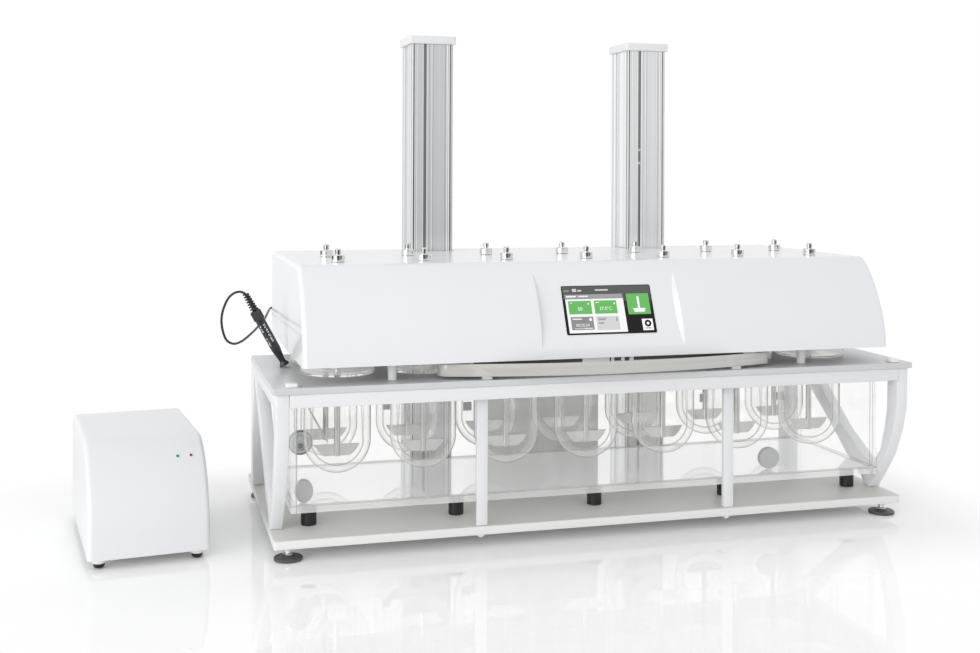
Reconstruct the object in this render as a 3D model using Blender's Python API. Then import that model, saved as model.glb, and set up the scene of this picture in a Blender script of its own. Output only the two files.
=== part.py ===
# Tablet dissolution tester: fourteen stirred glass vessels in a clear bath, under a drive head
# that climbs two towers, with its separate bath heater standing to the left.
# Metres, +Z up. The machine is drawn about its middle column and its front row of vessels, with
# heights from the top of the base plate. Everything then moves as one, so that the origin is the
# middle of the underside of the whole part.

import math

import bmesh
import bpy
from mathutils import Vector

# Fits
GAP = 0.0003
OVERRUN = 0.010
SINK = 0.001

# Vessel stations, counted from the left, front row first
COLUMNS = 7
ROWS = 2
COLUMN_SPACING = 0.144
ROW_SPACING = 0.130

# Base plate and its levelling feet
BASE_END_MARGIN = 0.114
BASE_FRONT = 0.1156
BASE_REAR = 0.336
BASE_THICK = 0.014
BASE_CORNER = 0.004
FOOT_STAND = 0.021
FOOT_RADIUS = 0.0223
FOOT_RIM = 0.0045
FOOT_CROWN = 0.002
FOOT_SCREW_RADIUS = 0.005
FOOT_NUT_RADIUS = 0.009
FOOT_NUT_HEIGHT = 0.004
FOOT_INSET_SIDE = 0.024
FOOT_INSET_FRONT = 0.0205
FOOT_INSET_REAR = 0.036

# Vessel plate and the rails under it
PLATE_OVERHANG = 0.006
PLATE_FRONT = 0.1426
PLATE_REAR = 0.219
PLATE_TOP = 0.237
PLATE_THICK = 0.010
PLATE_CORNER = 0.003
RAIL_HEIGHT = 0.0205
RAIL_DEPTH = 0.018
RAIL_SETBACK = 0.0026

# Side supports, rear legs and front posts
SUPPORT_THICK = 0.020
SUPPORT_SETBACK = 0.005
SUPPORT_REAR = 0.282
SUPPORT_STRUT_REAR = 0.235
SUPPORT_BEAM = 0.0207
LEG_DEPTH = 0.040
POST_WIDTH = 0.0175
POST_DEPTH = 0.010
POST_SETBACK = 0.0022
POST_COLUMN_SHARE = 1.5

# Water bath and its rubber feet
BATH_SIDE_GAP = 0.006
BATH_OFFSET_X = 0.004
BATH_FRONT = 0.077
BATH_REAR = 0.196
BATH_WALL = 0.008
BATH_FLOOR = 0.010
BATH_TOP = 0.212
BATH_LIFT = 0.030
BATH_FOOT_RADIUS = 0.0125
BATH_FOOT_COUNT = 5
BATH_FOOT_INSET = 0.0336
BATH_FOOT_FRONT_Y = -0.033
BATH_FOOT_REAR_Y = 0.152

# Glass vessels
VESSEL_RADIUS = 0.055
VESSEL_WALL = 0.0025
VESSEL_DEPTH = 0.164
VESSEL_SEGMENTS = 16
VESSEL_BOWL_STEPS = 4
VESSEL_HOLE_CLEARANCE = 0.0006
FLANGE_RADIUS = 0.061
FLANGE_THICK = 0.003

# Stirrers: shaft, paddle, pulley and chuck
SHAFT_RADIUS = 0.005
SHAFT_SEGMENTS = 12
SHAFT_CLEARANCE = 0.0005
SHAFT_TIP = 0.0107
SHAFT_TIP_FLAT_RADIUS = 0.003
SHAFT_TIP_ROUND = 0.0015
BLADE_WIDTH = 0.0745
BLADE_FOOT_WIDTH = 0.042
BLADE_HEIGHT = 0.019
BLADE_THICK = 0.004
BLADE_SIDE_RADIUS = 0.0415
BLADE_CLEARANCE = 0.0245
CHUCK_RADIUS = 0.011
CHUCK_HEIGHT = 0.0113
PULLEY_RADIUS = 0.018
PULLEY_HEIGHT = 0.012

# Drive head: cover, chassis and belt drive
HEAD_END_MARGIN = 0.074
HEAD_FRONT = 0.137
HEAD_REAR = 0.320
HEAD_BOTTOM = 0.265
HEAD_HEIGHT = 0.152
HEAD_RAKE_DEPTH = 0.073
HEAD_WALL = 0.003
HEAD_EDGE_RADIUS = 0.010
HEAD_END_RADIUS = 0.008
PANEL_HALF = 0.124
PANEL_LOW = 0.016
PANEL_HIGH = 0.134
PANEL_DRAFT = 0.75
HOLE_SEGMENTS = 8
NOTCH_CLEARANCE = 0.004
SOCKET_INSET = 0.028
SOCKET_Z = 0.307
SOCKET_RADIUS = 0.006
SOCKET_LENGTH = 0.008
CHASSIS_THICK = 0.008
CHASSIS_RECESS = 0.001
BELT_LEVEL = 0.062
BELT_THICK = 0.002
BELT_HEIGHT = 0.008
BELT_CORNER_STEPS = 6
MOTOR_COLUMN_SHARE = 0.5
MOTOR_RADIUS = 0.028
MOTOR_HEIGHT = 0.052
MOTOR_SHAFT_RADIUS = 0.004

# Touch screen, along the sloping front face
SCREEN_WIDTH = 0.159
SCREEN_HEIGHT = 0.086
SCREEN_RISE = 0.0644
SCREEN_DEPTH = 0.014
SCREEN_PROUD = 0.0006
SCREEN_CORNER = 0.004

# Lift towers, caps and carriages
TOWER_WIDTH = 0.079
TOWER_FRONT = 0.250
TOWER_DEPTH = 0.086
TOWER_TOP = 0.8047
TOWER_SLOT_WIDTH = 0.008
TOWER_SLOT_DEPTH = 0.005
TOWER_SLOTS = 2
CAP_OVERHANG = 0.005
CAP_HEIGHT = 0.015
CAP_CORNER = 0.003
CARRIAGE_HEIGHT = 0.110
CARRIAGE_FRONT = 0.026
CARRIAGE_CHEEK = 0.020
CARRIAGE_REACH = 0.050

# Supply housing between the towers, behind the bath
SUPPLY_LEFT = -0.109
SUPPLY_RIGHT = 0.122
SUPPLY_REAR = 0.330
SUPPLY_DEPTH = 0.075
SUPPLY_TOP = 0.252
SUPPLY_CORNER = 0.006
DUCT_LEFT = -0.006
DUCT_RIGHT = 0.030
DUCT_DEPTH = 0.014

# Curved front shield on two pads
SHIELD_HALF = 0.289
SHIELD_FRONT = 0.162
SHIELD_END = 0.122
SHIELD_BACK = 0.078
SHIELD_WALL = 0.003
SHIELD_HEIGHT = 0.020
SHIELD_LIFT = 0.0052
SHIELD_ARC_STEPS = 12
SHIELD_CORNER = 0.016
PAD_WIDTH = 0.016
PAD_DEPTH = 0.012
PAD_SETBACK = 0.0012

# Bath temperature probe, leaning on the plate at the left
PROBE_CLEARANCE = 0.0041
PROBE_SETBACK = 0.001
PROBE_LEAN = math.radians(28.5)
PROBE_SEGMENTS = 10
PROBE_NEEDLE_RADIUS = 0.0015
PROBE_NEEDLE_LENGTH = 0.152
PROBE_FLARE_RADIUS = 0.0085
PROBE_FLARE_LENGTH = 0.007
PROBE_NECK_RADIUS = 0.005
PROBE_TAPER_LENGTH = 0.022
PROBE_HANDLE_RADIUS = 0.0079
PROBE_HANDLE_LENGTH = 0.058
PROBE_GRIP_RADIUS = 0.0086
PROBE_GRIP_LENGTH = 0.018
PROBE_RELIEF_RADIUS = 0.0052
PROBE_RELIEF_TIP_RADIUS = 0.0035
PROBE_RELIEF_LENGTH = 0.024
PROBE_HOLE_RADIUS = 0.005

# Probe cable, from the strain relief round to the socket behind the head
CABLE_RADIUS = 0.002
CABLE_STEP = 0.0095
ROUTE_READS = 8
CABLE_ROUTE = (
    (-0.57180, 0.0660, 0.35499),
    (-0.57371, 0.0660, 0.35850),
    (-0.57760, 0.0661, 0.36290),
    (-0.58420, 0.0663, 0.36520),
    (-0.59200, 0.0670, 0.36400),
    (-0.60150, 0.0700, 0.35640),
    (-0.60950, 0.0755, 0.33950),
    (-0.61300, 0.0830, 0.32000),
    (-0.61050, 0.0910, 0.29900),
    (-0.60350, 0.1010, 0.28150),
    (-0.59150, 0.1150, 0.27300),
    (-0.57700, 0.1350, 0.27350),
    (-0.56050, 0.1620, 0.28050),
    (-0.54250, 0.2020, 0.28950),
    (-0.52700, 0.2460, 0.29750),
    (-0.51700, 0.2900, 0.30330),
    (-0.51000, 0.3250, 0.30650),
    (-0.50300, 0.3440, 0.30800),
    (-0.49200, 0.3510, 0.30800),
    (-0.48200, 0.3450, 0.30720),
    (-0.47800, 0.3340, 0.30700),
    (-0.47800, 0.3283, 0.30700),
)

# Bath heater, standing to the left and turned a little
HEATER_X = -0.818
HEATER_Y = -0.082
HEATER_TURN = math.radians(6.4)
HEATER_WIDTH = 0.182
HEATER_DEPTH = 0.330
HEATER_HEIGHT = 0.163
HEATER_RAKE_DEPTH = 0.092
HEATER_TOP_RADIUS = 0.012
HEATER_END_RADIUS = 0.008
HEATER_WALL = 0.003
HEATER_LIFT = 0.015
HEATER_FLOOR = 0.004
HEATER_RECESS = 0.001
HEATER_FOOT_RADIUS = 0.008
HEATER_FOOT_TIP_RADIUS = 0.004
HEATER_FOOT_INSET = 0.018

# The side support's front edge from the plate down to the foot: how far it draws back, as a share
# of the front edge's own distance ahead of the front row, and its height as a share of the support
SUPPORT_OUTER_SHARES = (
    (0.000, 1.00),
    (0.004, 0.90),
    (0.015, 0.70),
    (0.090, 0.52),
    (0.246, 0.31),
    (0.410, 0.17),
    (0.600, 0.03),
    (0.625, 0.00),
)
# The back of the foot and the strut's lower edge, and then the window between the front leg, the
# strut and the top beam: shares of the run from the front edge to the strut's rear end, and height
SUPPORT_REAR_SHARES = (
    (0.275, 0.00),
    (0.310, 0.07),
    (0.394, 0.15),
    (0.453, 0.216),
    (0.530, 0.322),
    (0.620, 0.432),
)
SUPPORT_WINDOW_SHARES = (
    (0.203, 0.203),
    (0.290, 0.230),
    (0.469, 0.397),
    (0.654, 0.635),
    (0.820, 0.885),
    (0.085, 0.885),
    (0.090, 0.660),
    (0.109, 0.507),
    (0.144, 0.330),
)

# The head's front, from its bottom edge up: height as a share of the head's, and how far forward it
# stands as a share of the rake's depth
HEAD_FRONT_SHARES = (
    (0.0000, 1.000),
    (0.1200, 0.978),
    (0.2400, 0.935),
    (0.3530, 0.872),
    (0.4625, 0.780),
    (0.6160, 0.625),
    (0.7370, 0.475),
    (0.8860, 0.235),
    (0.9500, 0.100),
    (0.9850, 0.000),
    (1.0000, -0.090),
)
# The heater's front in the same way
HEATER_FRONT_SHARES = (
    (0.00, 1.000),
    (0.15, 0.995),
    (0.30, 0.965),
    (0.45, 0.900),
    (0.60, 0.790),
    (0.72, 0.655),
    (0.82, 0.500),
    (0.90, 0.330),
    (0.96, 0.150),
    (0.99, 0.020),
    (1.00, -0.080),
)

STATION_SPAN = (COLUMNS - 1) * COLUMN_SPACING
BASE_WIDTH = STATION_SPAN + 2 * BASE_END_MARGIN
PLATE_WIDTH = BASE_WIDTH + 2 * PLATE_OVERHANG
BATH_WIDTH = BASE_WIDTH - 2 * (SUPPORT_THICK + BATH_SIDE_GAP)
BATH_FOOT_SPACING = (BATH_WIDTH - 2 * BATH_FOOT_INSET) / (BATH_FOOT_COUNT - 1)
HEAD_LENGTH = STATION_SPAN + 2 * HEAD_END_MARGIN
TOWER_X = POST_COLUMN_SHARE * COLUMN_SPACING
SOCKET_X = SOCKET_INSET - HEAD_LENGTH / 2
PROBE_X = -HEAD_LENGTH / 2 - PROBE_CLEARANCE
PROBE_Y = ROW_SPACING / 2 + PROBE_SETBACK
SUPPORT_TOP = PLATE_TOP - PLATE_THICK - GAP
HEAD_TOP = HEAD_BOTTOM + HEAD_HEIGHT
CHASSIS_TOP = HEAD_BOTTOM + CHASSIS_RECESS + CHASSIS_THICK
BELT_BOTTOM = CHASSIS_TOP + BELT_LEVEL
FLOOR = -BASE_THICK - FOOT_STAND
SHIELD_BOTTOM = PLATE_TOP + SHIELD_LIFT

SHARP_ANGLE = math.radians(35)


def clear_scene():
    for old in list(bpy.data.objects):
        bpy.data.objects.remove(old, do_unlink=True)


def material(name, colour, roughness, metallic=0.0, transmission=0.0):
    made = bpy.data.materials.new(name)
    made.use_nodes = True
    shader = made.node_tree.nodes["Principled BSDF"]
    shader.inputs["Base Color"].default_value = (*colour, 1.0)
    shader.inputs["Roughness"].default_value = roughness
    shader.inputs["Metallic"].default_value = metallic
    shader.inputs["Transmission Weight"].default_value = transmission
    made.diffuse_color = (*colour, 1.0)
    return made


def empty(name, location, parent=None, turn=0.0):
    made = bpy.data.objects.new(name, None)
    made.location = location
    made.rotation_euler = (0, 0, turn)
    made.parent = parent
    bpy.context.scene.collection.objects.link(made)
    return made


def place(name, data, finish, parent, location=(0, 0, 0), rotation=(0, 0, 0)):
    made = bpy.data.objects.new(name, data)
    if finish is not None and not data.materials:
        data.materials.append(finish)
    made.parent = parent
    made.location = location
    made.rotation_euler = rotation
    bpy.context.scene.collection.objects.link(made)
    return made


def mesh_from(name, shape):
    bmesh.ops.recalc_face_normals(shape, faces=shape.faces)
    mesh = bpy.data.meshes.new(name)
    shape.to_mesh(mesh)
    shape.free()
    mesh.shade_smooth()
    mesh.set_sharp_from_angle(angle=SHARP_ANGLE)
    return mesh


def combine(target, tool, operation):
    tool.hide_render = True
    tool.display_type = "WIRE"
    step = target.modifiers.new(tool.name, "BOOLEAN")
    step.operation = operation
    step.object = tool


def evaluated_mesh(source, name):
    # The object's mesh with its modifiers carried out, so that copies can share it.
    bpy.context.view_layer.update()
    graph = bpy.context.evaluated_depsgraph_get()
    mesh = bpy.data.meshes.new_from_object(source.evaluated_get(graph))
    mesh.name = name
    return mesh


def add_prism(shape, outline, low, high, axis="z"):
    # An outline of two coordinates, carried from low to high along the third.
    orders = {"x": (2, 0, 1), "y": (0, 2, 1), "z": (0, 1, 2)}
    order = orders[axis]
    rings = []
    for level in (low, high):
        points = [(*point, level) for point in outline]
        rings.append([shape.verts.new([point[i] for i in order]) for point in points])
    bottom, top = rings
    shape.faces.new(bottom)
    shape.faces.new(top)
    for i in range(len(outline)):
        j = (i + 1) % len(outline)
        shape.faces.new((bottom[i], bottom[j], top[j], top[i]))


def add_lathe(shape, profile, segments, centre=(0, 0)):
    # A profile of (radius, height) pairs turned about a vertical axis.
    rings = []
    for radius, height in profile:
        if radius == 0:
            rings.append([shape.verts.new((*centre, height))])
            continue
        ring = []
        for i in range(segments):
            angle = math.tau * (i + 0.5) / segments
            x = centre[0] + radius * math.cos(angle)
            y = centre[1] + radius * math.sin(angle)
            ring.append(shape.verts.new((x, y, height)))
        rings.append(ring)
    for lower, upper in zip(rings, rings[1:]):
        for i in range(segments):
            j = (i + 1) % segments
            corners = (lower[i % len(lower)], lower[j % len(lower)])
            corners += (upper[j % len(upper)], upper[i % len(upper)])
            shape.faces.new(dict.fromkeys(corners))


def rectangle(x_low, x_high, y_low, y_high):
    return [(x_low, y_low), (x_high, y_low), (x_high, y_high), (x_low, y_high)]


def rounded(corners, radii, steps=3):
    # Each corner of a closed outline replaced by an arc of its own radius, or kept if it is zero.
    points = []
    for i, radius in enumerate(radii):
        corner = Vector(corners[i])
        if radius == 0:
            points.append(tuple(corner))
            continue
        before = (Vector(corners[i - 1]) - corner).normalized()
        after = (Vector(corners[(i + 1) % len(corners)]) - corner).normalized()
        half = before.angle(after) / 2
        centre = corner + (before + after).normalized() * (radius / math.sin(half))
        start = corner + before * (radius / math.tan(half)) - centre
        sweep = math.pi - 2 * half
        if before.x * after.y - before.y * after.x > 0:
            sweep = -sweep
        for step in range(steps + 1):
            angle = sweep * step / steps
            turned = (
                start.x * math.cos(angle) - start.y * math.sin(angle),
                start.x * math.sin(angle) + start.y * math.cos(angle),
            )
            points.append((centre.x + turned[0], centre.y + turned[1]))
    return points


def slab(name, sides, low, high, corner, finish, parent):
    shape = bmesh.new()
    outline = rounded(rectangle(*sides), (corner,) * 4)
    add_prism(shape, outline, low, high)
    return place(name, mesh_from(name, shape), finish, parent)


def stations():
    for row in range(ROWS):
        for column in range(COLUMNS):
            number = row * COLUMNS + column + 1
            x = (column - (COLUMNS - 1) / 2) * COLUMN_SPACING
            yield number, x, row * ROW_SPACING


def polygon_radius(inside, segments):
    # The corner radius of a polygon whose flats stay outside a circle.
    return inside / math.cos(math.pi / segments)


def station_holes(name, radius, segments, low, high, parent):
    shape = bmesh.new()
    for _, x, y in stations():
        profile = ((0, low), (radius, low), (radius, high), (0, high))
        add_lathe(shape, profile, segments, (x, y))
    return place(name, mesh_from(name, shape), None, parent)


def tower_notches(name, low, high, parent):
    shape = bmesh.new()
    half = TOWER_WIDTH / 2 + NOTCH_CLEARANCE
    for side in (-1, 1):
        x = side * TOWER_X
        sides = (x - half, x + half, TOWER_FRONT - NOTCH_CLEARANCE, HEAD_REAR + OVERRUN)
        add_prism(shape, rectangle(*sides), low, high)
    return place(name, mesh_from(name, shape), None, parent)


def hood(name, corners, radii, half_width, wall, end_radius, finish, parent):
    # A shell with an open underside: a profile of (y, z) corners, bottom front first, then
    # bottom rear and over the top, drawn out along X and hollowed from below.
    shape = bmesh.new()
    add_prism(shape, rounded(corners, radii), -half_width, half_width, "x")
    ends = [face for face in shape.faces if len(face.verts) > 4]
    rims = {edge for face in ends for edge in face.edges if not on_underside(edge, corners[0][1])}
    bmesh.ops.bevel(
        shape, geom=list(rims), offset=end_radius, segments=2, profile=0.5, affect="EDGES"
    )
    shell = place(name, mesh_from(name, shape), finish, parent)
    inner = inset_profile(corners, wall)
    inner_radii = [max(radius - wall, 0) for radius in radii]
    core = bmesh.new()
    add_prism(core, rounded(inner, inner_radii), wall - half_width, half_width - wall, "x")
    hollow = place(name + "_hollow", mesh_from(name + "_hollow", core), None, parent)
    combine(shell, hollow, "DIFFERENCE")
    return shell, hollow


def on_underside(edge, height):
    return all(abs(vert.co.z - height) < GAP for vert in edge.verts)


def inset_profile(corners, wall):
    # The profile moved in by the wall on every side but the underside, which runs on below.
    low = corners[0][1]
    lowered = [along(corners[-1], corners[0], low - OVERRUN)]
    lowered.append(along(corners[2], corners[1], low - OVERRUN))
    lowered += corners[2:]
    count = len(lowered)
    inner = []
    for i in range(count):
        before = Vector(lowered[i - 1])
        here = Vector(lowered[i])
        after = Vector(lowered[(i + 1) % count])
        first = (here - before).normalized()
        second = (after - here).normalized()
        first_in = 0 if i == 1 else wall
        second_in = 0 if i == 0 else wall
        # The profile runs anticlockwise, so inwards is to the left of each side.
        first_point = here + Vector((-first.y, first.x)) * first_in
        second_point = here + Vector((-second.y, second.x)) * second_in
        cross = first.x * second.y - first.y * second.x
        offset = second_point - first_point
        run = (offset.x * second.y - offset.y * second.x) / cross
        inner.append(tuple(first_point + first * run))
    return inner


def along(start, end, height):
    # The point at this height on the line through two (y, z) points.
    share = (height - start[1]) / (end[1] - start[1])
    return (start[0] + (end[0] - start[0]) * share, height)


def smooth_route(points, step):
    # A centripetal Catmull-Rom curve through the points, read at even steps.
    route = [Vector(point) for point in points]
    route = [2 * route[0] - route[1], *route, 2 * route[-1] - route[-2]]
    fine = []
    for corners in zip(route, route[1:], route[2:], route[3:]):
        times = [0.0]
        for first, second in zip(corners, corners[1:]):
            times.append(times[-1] + math.sqrt((second - first).length))
        for read in range(ROUTE_READS):
            at = times[1] + (times[2] - times[1]) * read / ROUTE_READS
            fine.append(curve_point(corners, times, at))
    fine.append(route[-2])
    lengths = [0.0]
    for first, second in zip(fine, fine[1:]):
        lengths.append(lengths[-1] + (second - first).length)
    count = round(lengths[-1] / step)
    even = []
    for i in range(count + 1):
        target = lengths[-1] * i / count
        end = 1
        while end < len(fine) - 1 and lengths[end] < target:
            end += 1
        part = (target - lengths[end - 1]) / (lengths[end] - lengths[end - 1])
        even.append(fine[end - 1].lerp(fine[end], part))
    return even


def curve_point(corners, times, at):
    def between(first, second, start, end):
        return first.lerp(second, (at - start) / (end - start))

    low = [between(corners[i], corners[i + 1], times[i], times[i + 1]) for i in range(3)]
    middle = [between(low[i], low[i + 1], times[i], times[i + 2]) for i in range(2)]
    return between(middle[0], middle[1], times[1], times[2])


def make_finishes():
    return {
        "powder": material("white_powder_coat", (0.86, 0.87, 0.89), 0.32),
        "board": material("white_board", (0.88, 0.89, 0.91), 0.35),
        "base": material("base_laminate", (0.62, 0.61, 0.58), 0.38),
        "plate": material("vessel_plate_grey", (0.60, 0.62, 0.63), 0.35),
        "glass": material("borosilicate_glass", (0.93, 0.95, 0.96), 0.03, 0.0, 0.9),
        "acrylic": material("clear_acrylic", (0.94, 0.96, 0.96), 0.04, 0.0, 0.9),
        "steel": material("stainless_steel", (0.56, 0.56, 0.55), 0.22, 1.0),
        "aluminium": material("anodised_aluminium", (0.66, 0.66, 0.64), 0.38, 1.0),
        "rubber": material("black_rubber", (0.015, 0.015, 0.016), 0.60),
        "screen": material("screen_glass", (0.02, 0.02, 0.022), 0.08),
        "grey": material("grey_housing", (0.47, 0.48, 0.48), 0.45),
        "plastic": material("black_plastic", (0.02, 0.02, 0.024), 0.35),
    }


def make_base(parent, finish):
    half = BASE_WIDTH / 2
    sides = (-half, half, -BASE_FRONT, BASE_REAR)
    slab("base_plate", sides, -BASE_THICK, 0, BASE_CORNER, finish["base"], parent)
    foot_mesh = mesh_from("levelling_foot", foot_shape())
    corners = (
        ("front_left", -1, -BASE_FRONT + FOOT_INSET_FRONT),
        ("front_right", 1, -BASE_FRONT + FOOT_INSET_FRONT),
        ("rear_left", -1, BASE_REAR - FOOT_INSET_REAR),
        ("rear_right", 1, BASE_REAR - FOOT_INSET_REAR),
    )
    for name, side, y in corners:
        x = side * (half - FOOT_INSET_SIDE)
        place("levelling_foot_" + name, foot_mesh, finish["rubber"], parent, (x, y, FLOOR))


def foot_shape():
    shape = bmesh.new()
    nut = FOOT_RIM + FOOT_CROWN + FOOT_NUT_HEIGHT
    profile = (
        (0, 0),
        (FOOT_RADIUS, 0),
        (FOOT_RADIUS, FOOT_RIM),
        (FOOT_NUT_RADIUS, FOOT_RIM + FOOT_CROWN),
        (FOOT_NUT_RADIUS, nut),
        (FOOT_SCREW_RADIUS, nut),
        (FOOT_SCREW_RADIUS, FOOT_STAND - GAP),
        (0, FOOT_STAND - GAP),
    )
    add_lathe(shape, profile, SHAFT_SEGMENTS)
    return shape


def make_vessel_plate(parent, finish):
    half = PLATE_WIDTH / 2
    sides = (-half, half, -PLATE_FRONT, PLATE_REAR)
    bottom = PLATE_TOP - PLATE_THICK
    plate = slab(
        "vessel_plate", sides, bottom, PLATE_TOP, PLATE_CORNER, finish["plate"], parent
    )
    radius = VESSEL_RADIUS + VESSEL_HOLE_CLEARANCE
    low = bottom - OVERRUN
    high = PLATE_TOP + OVERRUN
    holes = station_holes("vessel_openings", radius, VESSEL_SEGMENTS, low, high, parent)
    combine(plate, holes, "DIFFERENCE")
    shape = bmesh.new()
    x = PROBE_X + (probe_height() - PLATE_TOP + PLATE_THICK / 2) * math.tan(PROBE_LEAN)
    profile = ((0, low), (PROBE_HOLE_RADIUS, low), (PROBE_HOLE_RADIUS, high), (0, high))
    add_lathe(shape, profile, HOLE_SEGMENTS, (x, PROBE_Y))
    hole = place("probe_opening", mesh_from("probe_opening", shape), None, parent)
    combine(plate, hole, "DIFFERENCE")
    reach = BASE_WIDTH / 2 - SUPPORT_THICK - GAP
    front = -PLATE_FRONT + RAIL_SETBACK
    rear = PLATE_REAR - RAIL_SETBACK
    for name, y in (("front_rail", front), ("rear_rail", rear - RAIL_DEPTH)):
        sides = (-reach, reach, y, y + RAIL_DEPTH)
        slab(name, sides, SUPPORT_TOP - RAIL_HEIGHT, SUPPORT_TOP, 0, finish["board"], parent)


def make_supports(parent, finish):
    front = -PLATE_FRONT + SUPPORT_SETBACK
    beam_bottom = SUPPORT_TOP - SUPPORT_BEAM
    run = SUPPORT_STRUT_REAR - front
    outline = [(front * (1 - back), high * SUPPORT_TOP) for back, high in SUPPORT_OUTER_SHARES]
    outline += [(front + run * back, high * SUPPORT_TOP) for back, high in SUPPORT_REAR_SHARES]
    outline += [
        (SUPPORT_STRUT_REAR, beam_bottom),
        (SUPPORT_REAR, beam_bottom),
        (SUPPORT_REAR, SUPPORT_TOP),
    ]
    outline = [(y, max(z, GAP)) for y, z in outline]
    window = [(front + run * back, high * SUPPORT_TOP) for back, high in SUPPORT_WINDOW_SHARES]
    outer = BASE_WIDTH / 2
    inner = outer - SUPPORT_THICK
    for name, side in (("left", -1), ("right", 1)):
        low = min(side * inner, side * outer)
        high = max(side * inner, side * outer)
        shape = bmesh.new()
        add_prism(shape, outline, low, high, "x")
        full = name + "_side_support"
        support = place(full, mesh_from(full, shape), finish["board"], parent)
        shape = bmesh.new()
        add_prism(shape, window, low - OVERRUN, high + OVERRUN, "x")
        opening = place(name + "_window", mesh_from(name + "_window", shape), None, parent)
        combine(support, opening, "DIFFERENCE")
        sides = (low, high, SUPPORT_REAR - LEG_DEPTH, SUPPORT_REAR)
        slab(name + "_rear_leg", sides, GAP, beam_bottom - GAP, 0, finish["board"], parent)
        x = side * POST_COLUMN_SHARE * COLUMN_SPACING
        y = -BASE_FRONT + POST_SETBACK
        sides = (x - POST_WIDTH / 2, x + POST_WIDTH / 2, y, y + POST_DEPTH)
        slab(name + "_front_post", sides, GAP, SUPPORT_TOP, 0, finish["board"], parent)


def make_bath(parent, finish):
    left = BATH_OFFSET_X - BATH_WIDTH / 2
    right = BATH_OFFSET_X + BATH_WIDTH / 2
    sides = (left, right, -BATH_FRONT, BATH_REAR)
    bath = slab("water_bath", sides, BATH_LIFT, BATH_TOP, 0, finish["acrylic"], parent)
    inner = (
        left + BATH_WALL,
        right - BATH_WALL,
        BATH_WALL - BATH_FRONT,
        BATH_REAR - BATH_WALL,
    )
    floor = BATH_LIFT + BATH_FLOOR
    hollow = slab("bath_hollow", inner, floor, BATH_TOP + OVERRUN, 0, None, parent)
    combine(bath, hollow, "DIFFERENCE")
    shape = bmesh.new()
    top = BATH_LIFT + SINK
    for y in (BATH_FOOT_FRONT_Y, BATH_FOOT_REAR_Y):
        for i in range(BATH_FOOT_COUNT):
            x = left + BATH_FOOT_INSET + i * BATH_FOOT_SPACING
            profile = ((0, GAP), (BATH_FOOT_RADIUS, GAP), (BATH_FOOT_RADIUS, top), (0, top))
            add_lathe(shape, profile, HOLE_SEGMENTS, (x, y))
    feet = place("bath_feet", mesh_from("bath_feet", shape), None, parent)
    combine(bath, feet, "UNION")


def make_vessels(parent, finish):
    shape = bmesh.new()
    centre = PLATE_TOP - VESSEL_DEPTH + VESSEL_RADIUS
    seat = PLATE_TOP + GAP
    inside = VESSEL_RADIUS - VESSEL_WALL
    profile = bowl(VESSEL_RADIUS, centre)
    profile += [(VESSEL_RADIUS, seat), (FLANGE_RADIUS, seat)]
    profile += [(FLANGE_RADIUS, seat + FLANGE_THICK), (inside, seat + FLANGE_THICK)]
    profile += reversed(bowl(inside, centre))
    add_lathe(shape, profile, VESSEL_SEGMENTS)
    mesh = mesh_from("vessel", shape)
    for number, x, y in stations():
        place(f"vessel_{number}", mesh, finish["glass"], parent, (x, y, 0))


def bowl(radius, centre):
    # Half a circle's side, from the bottom of the axis up to the bowl's full width.
    points = [(0, centre - radius)]
    for i in range(1, VESSEL_BOWL_STEPS + 1):
        angle = math.pi / 2 * i / VESSEL_BOWL_STEPS
        points.append((radius * math.sin(angle), centre - radius * math.cos(angle)))
    return points


def make_stirrers(parent, finish):
    shape = bmesh.new()
    blade_bottom = PLATE_TOP - VESSEL_DEPTH + VESSEL_WALL + BLADE_CLEARANCE
    pulley_bottom = BELT_BOTTOM - (PULLEY_HEIGHT - BELT_HEIGHT) / 2
    pulley_top = pulley_bottom + PULLEY_HEIGHT
    chuck_bottom = HEAD_TOP + GAP
    chuck_top = chuck_bottom + CHUCK_HEIGHT
    tip = chuck_top + SHAFT_TIP
    profile = (
        (0, blade_bottom),
        (SHAFT_RADIUS, blade_bottom),
        (SHAFT_RADIUS, pulley_bottom),
        (PULLEY_RADIUS, pulley_bottom),
        (PULLEY_RADIUS, pulley_top),
        (SHAFT_RADIUS, pulley_top),
        (SHAFT_RADIUS, chuck_bottom),
        (CHUCK_RADIUS, chuck_bottom),
        (CHUCK_RADIUS, chuck_top),
        (SHAFT_RADIUS, chuck_top),
        (SHAFT_RADIUS, tip - SHAFT_TIP_ROUND),
        (SHAFT_TIP_FLAT_RADIUS, tip),
        (0, tip),
    )
    add_lathe(shape, profile, SHAFT_SEGMENTS)
    shaft = place("stirrer_shaft", mesh_from("stirrer_shaft", shape), finish["steel"], None)
    shape = bmesh.new()
    outline = [(x, blade_bottom + z) for x, z in blade_outline()]
    add_prism(shape, outline, -BLADE_THICK / 2, BLADE_THICK / 2, "y")
    blade = place("stirrer_blade", mesh_from("stirrer_blade", shape), None, None)
    combine(shaft, blade, "UNION")
    mesh = evaluated_mesh(shaft, "stirrer")
    bpy.data.objects.remove(shaft)
    bpy.data.objects.remove(blade)
    for number, x, y in stations():
        place(f"stirrer_{number}", mesh, None, parent, (x, y, 0))


def blade_outline():
    # The paddle narrows downwards, and each slanting side bulges on an arc.
    top = BLADE_WIDTH / 2
    foot = BLADE_FOOT_WIDTH / 2
    chord = math.hypot(top - foot, BLADE_HEIGHT)
    bulge = BLADE_SIDE_RADIUS - math.sqrt(BLADE_SIDE_RADIUS**2 - chord**2 / 4)
    middle_x = (top + foot) / 2 + bulge * BLADE_HEIGHT / chord
    middle_z = BLADE_HEIGHT / 2 - bulge * (top - foot) / chord
    right = [(foot, 0), (middle_x, middle_z), (top, BLADE_HEIGHT)]
    return right + [(-x, z) for x, z in reversed(right)]


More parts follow.
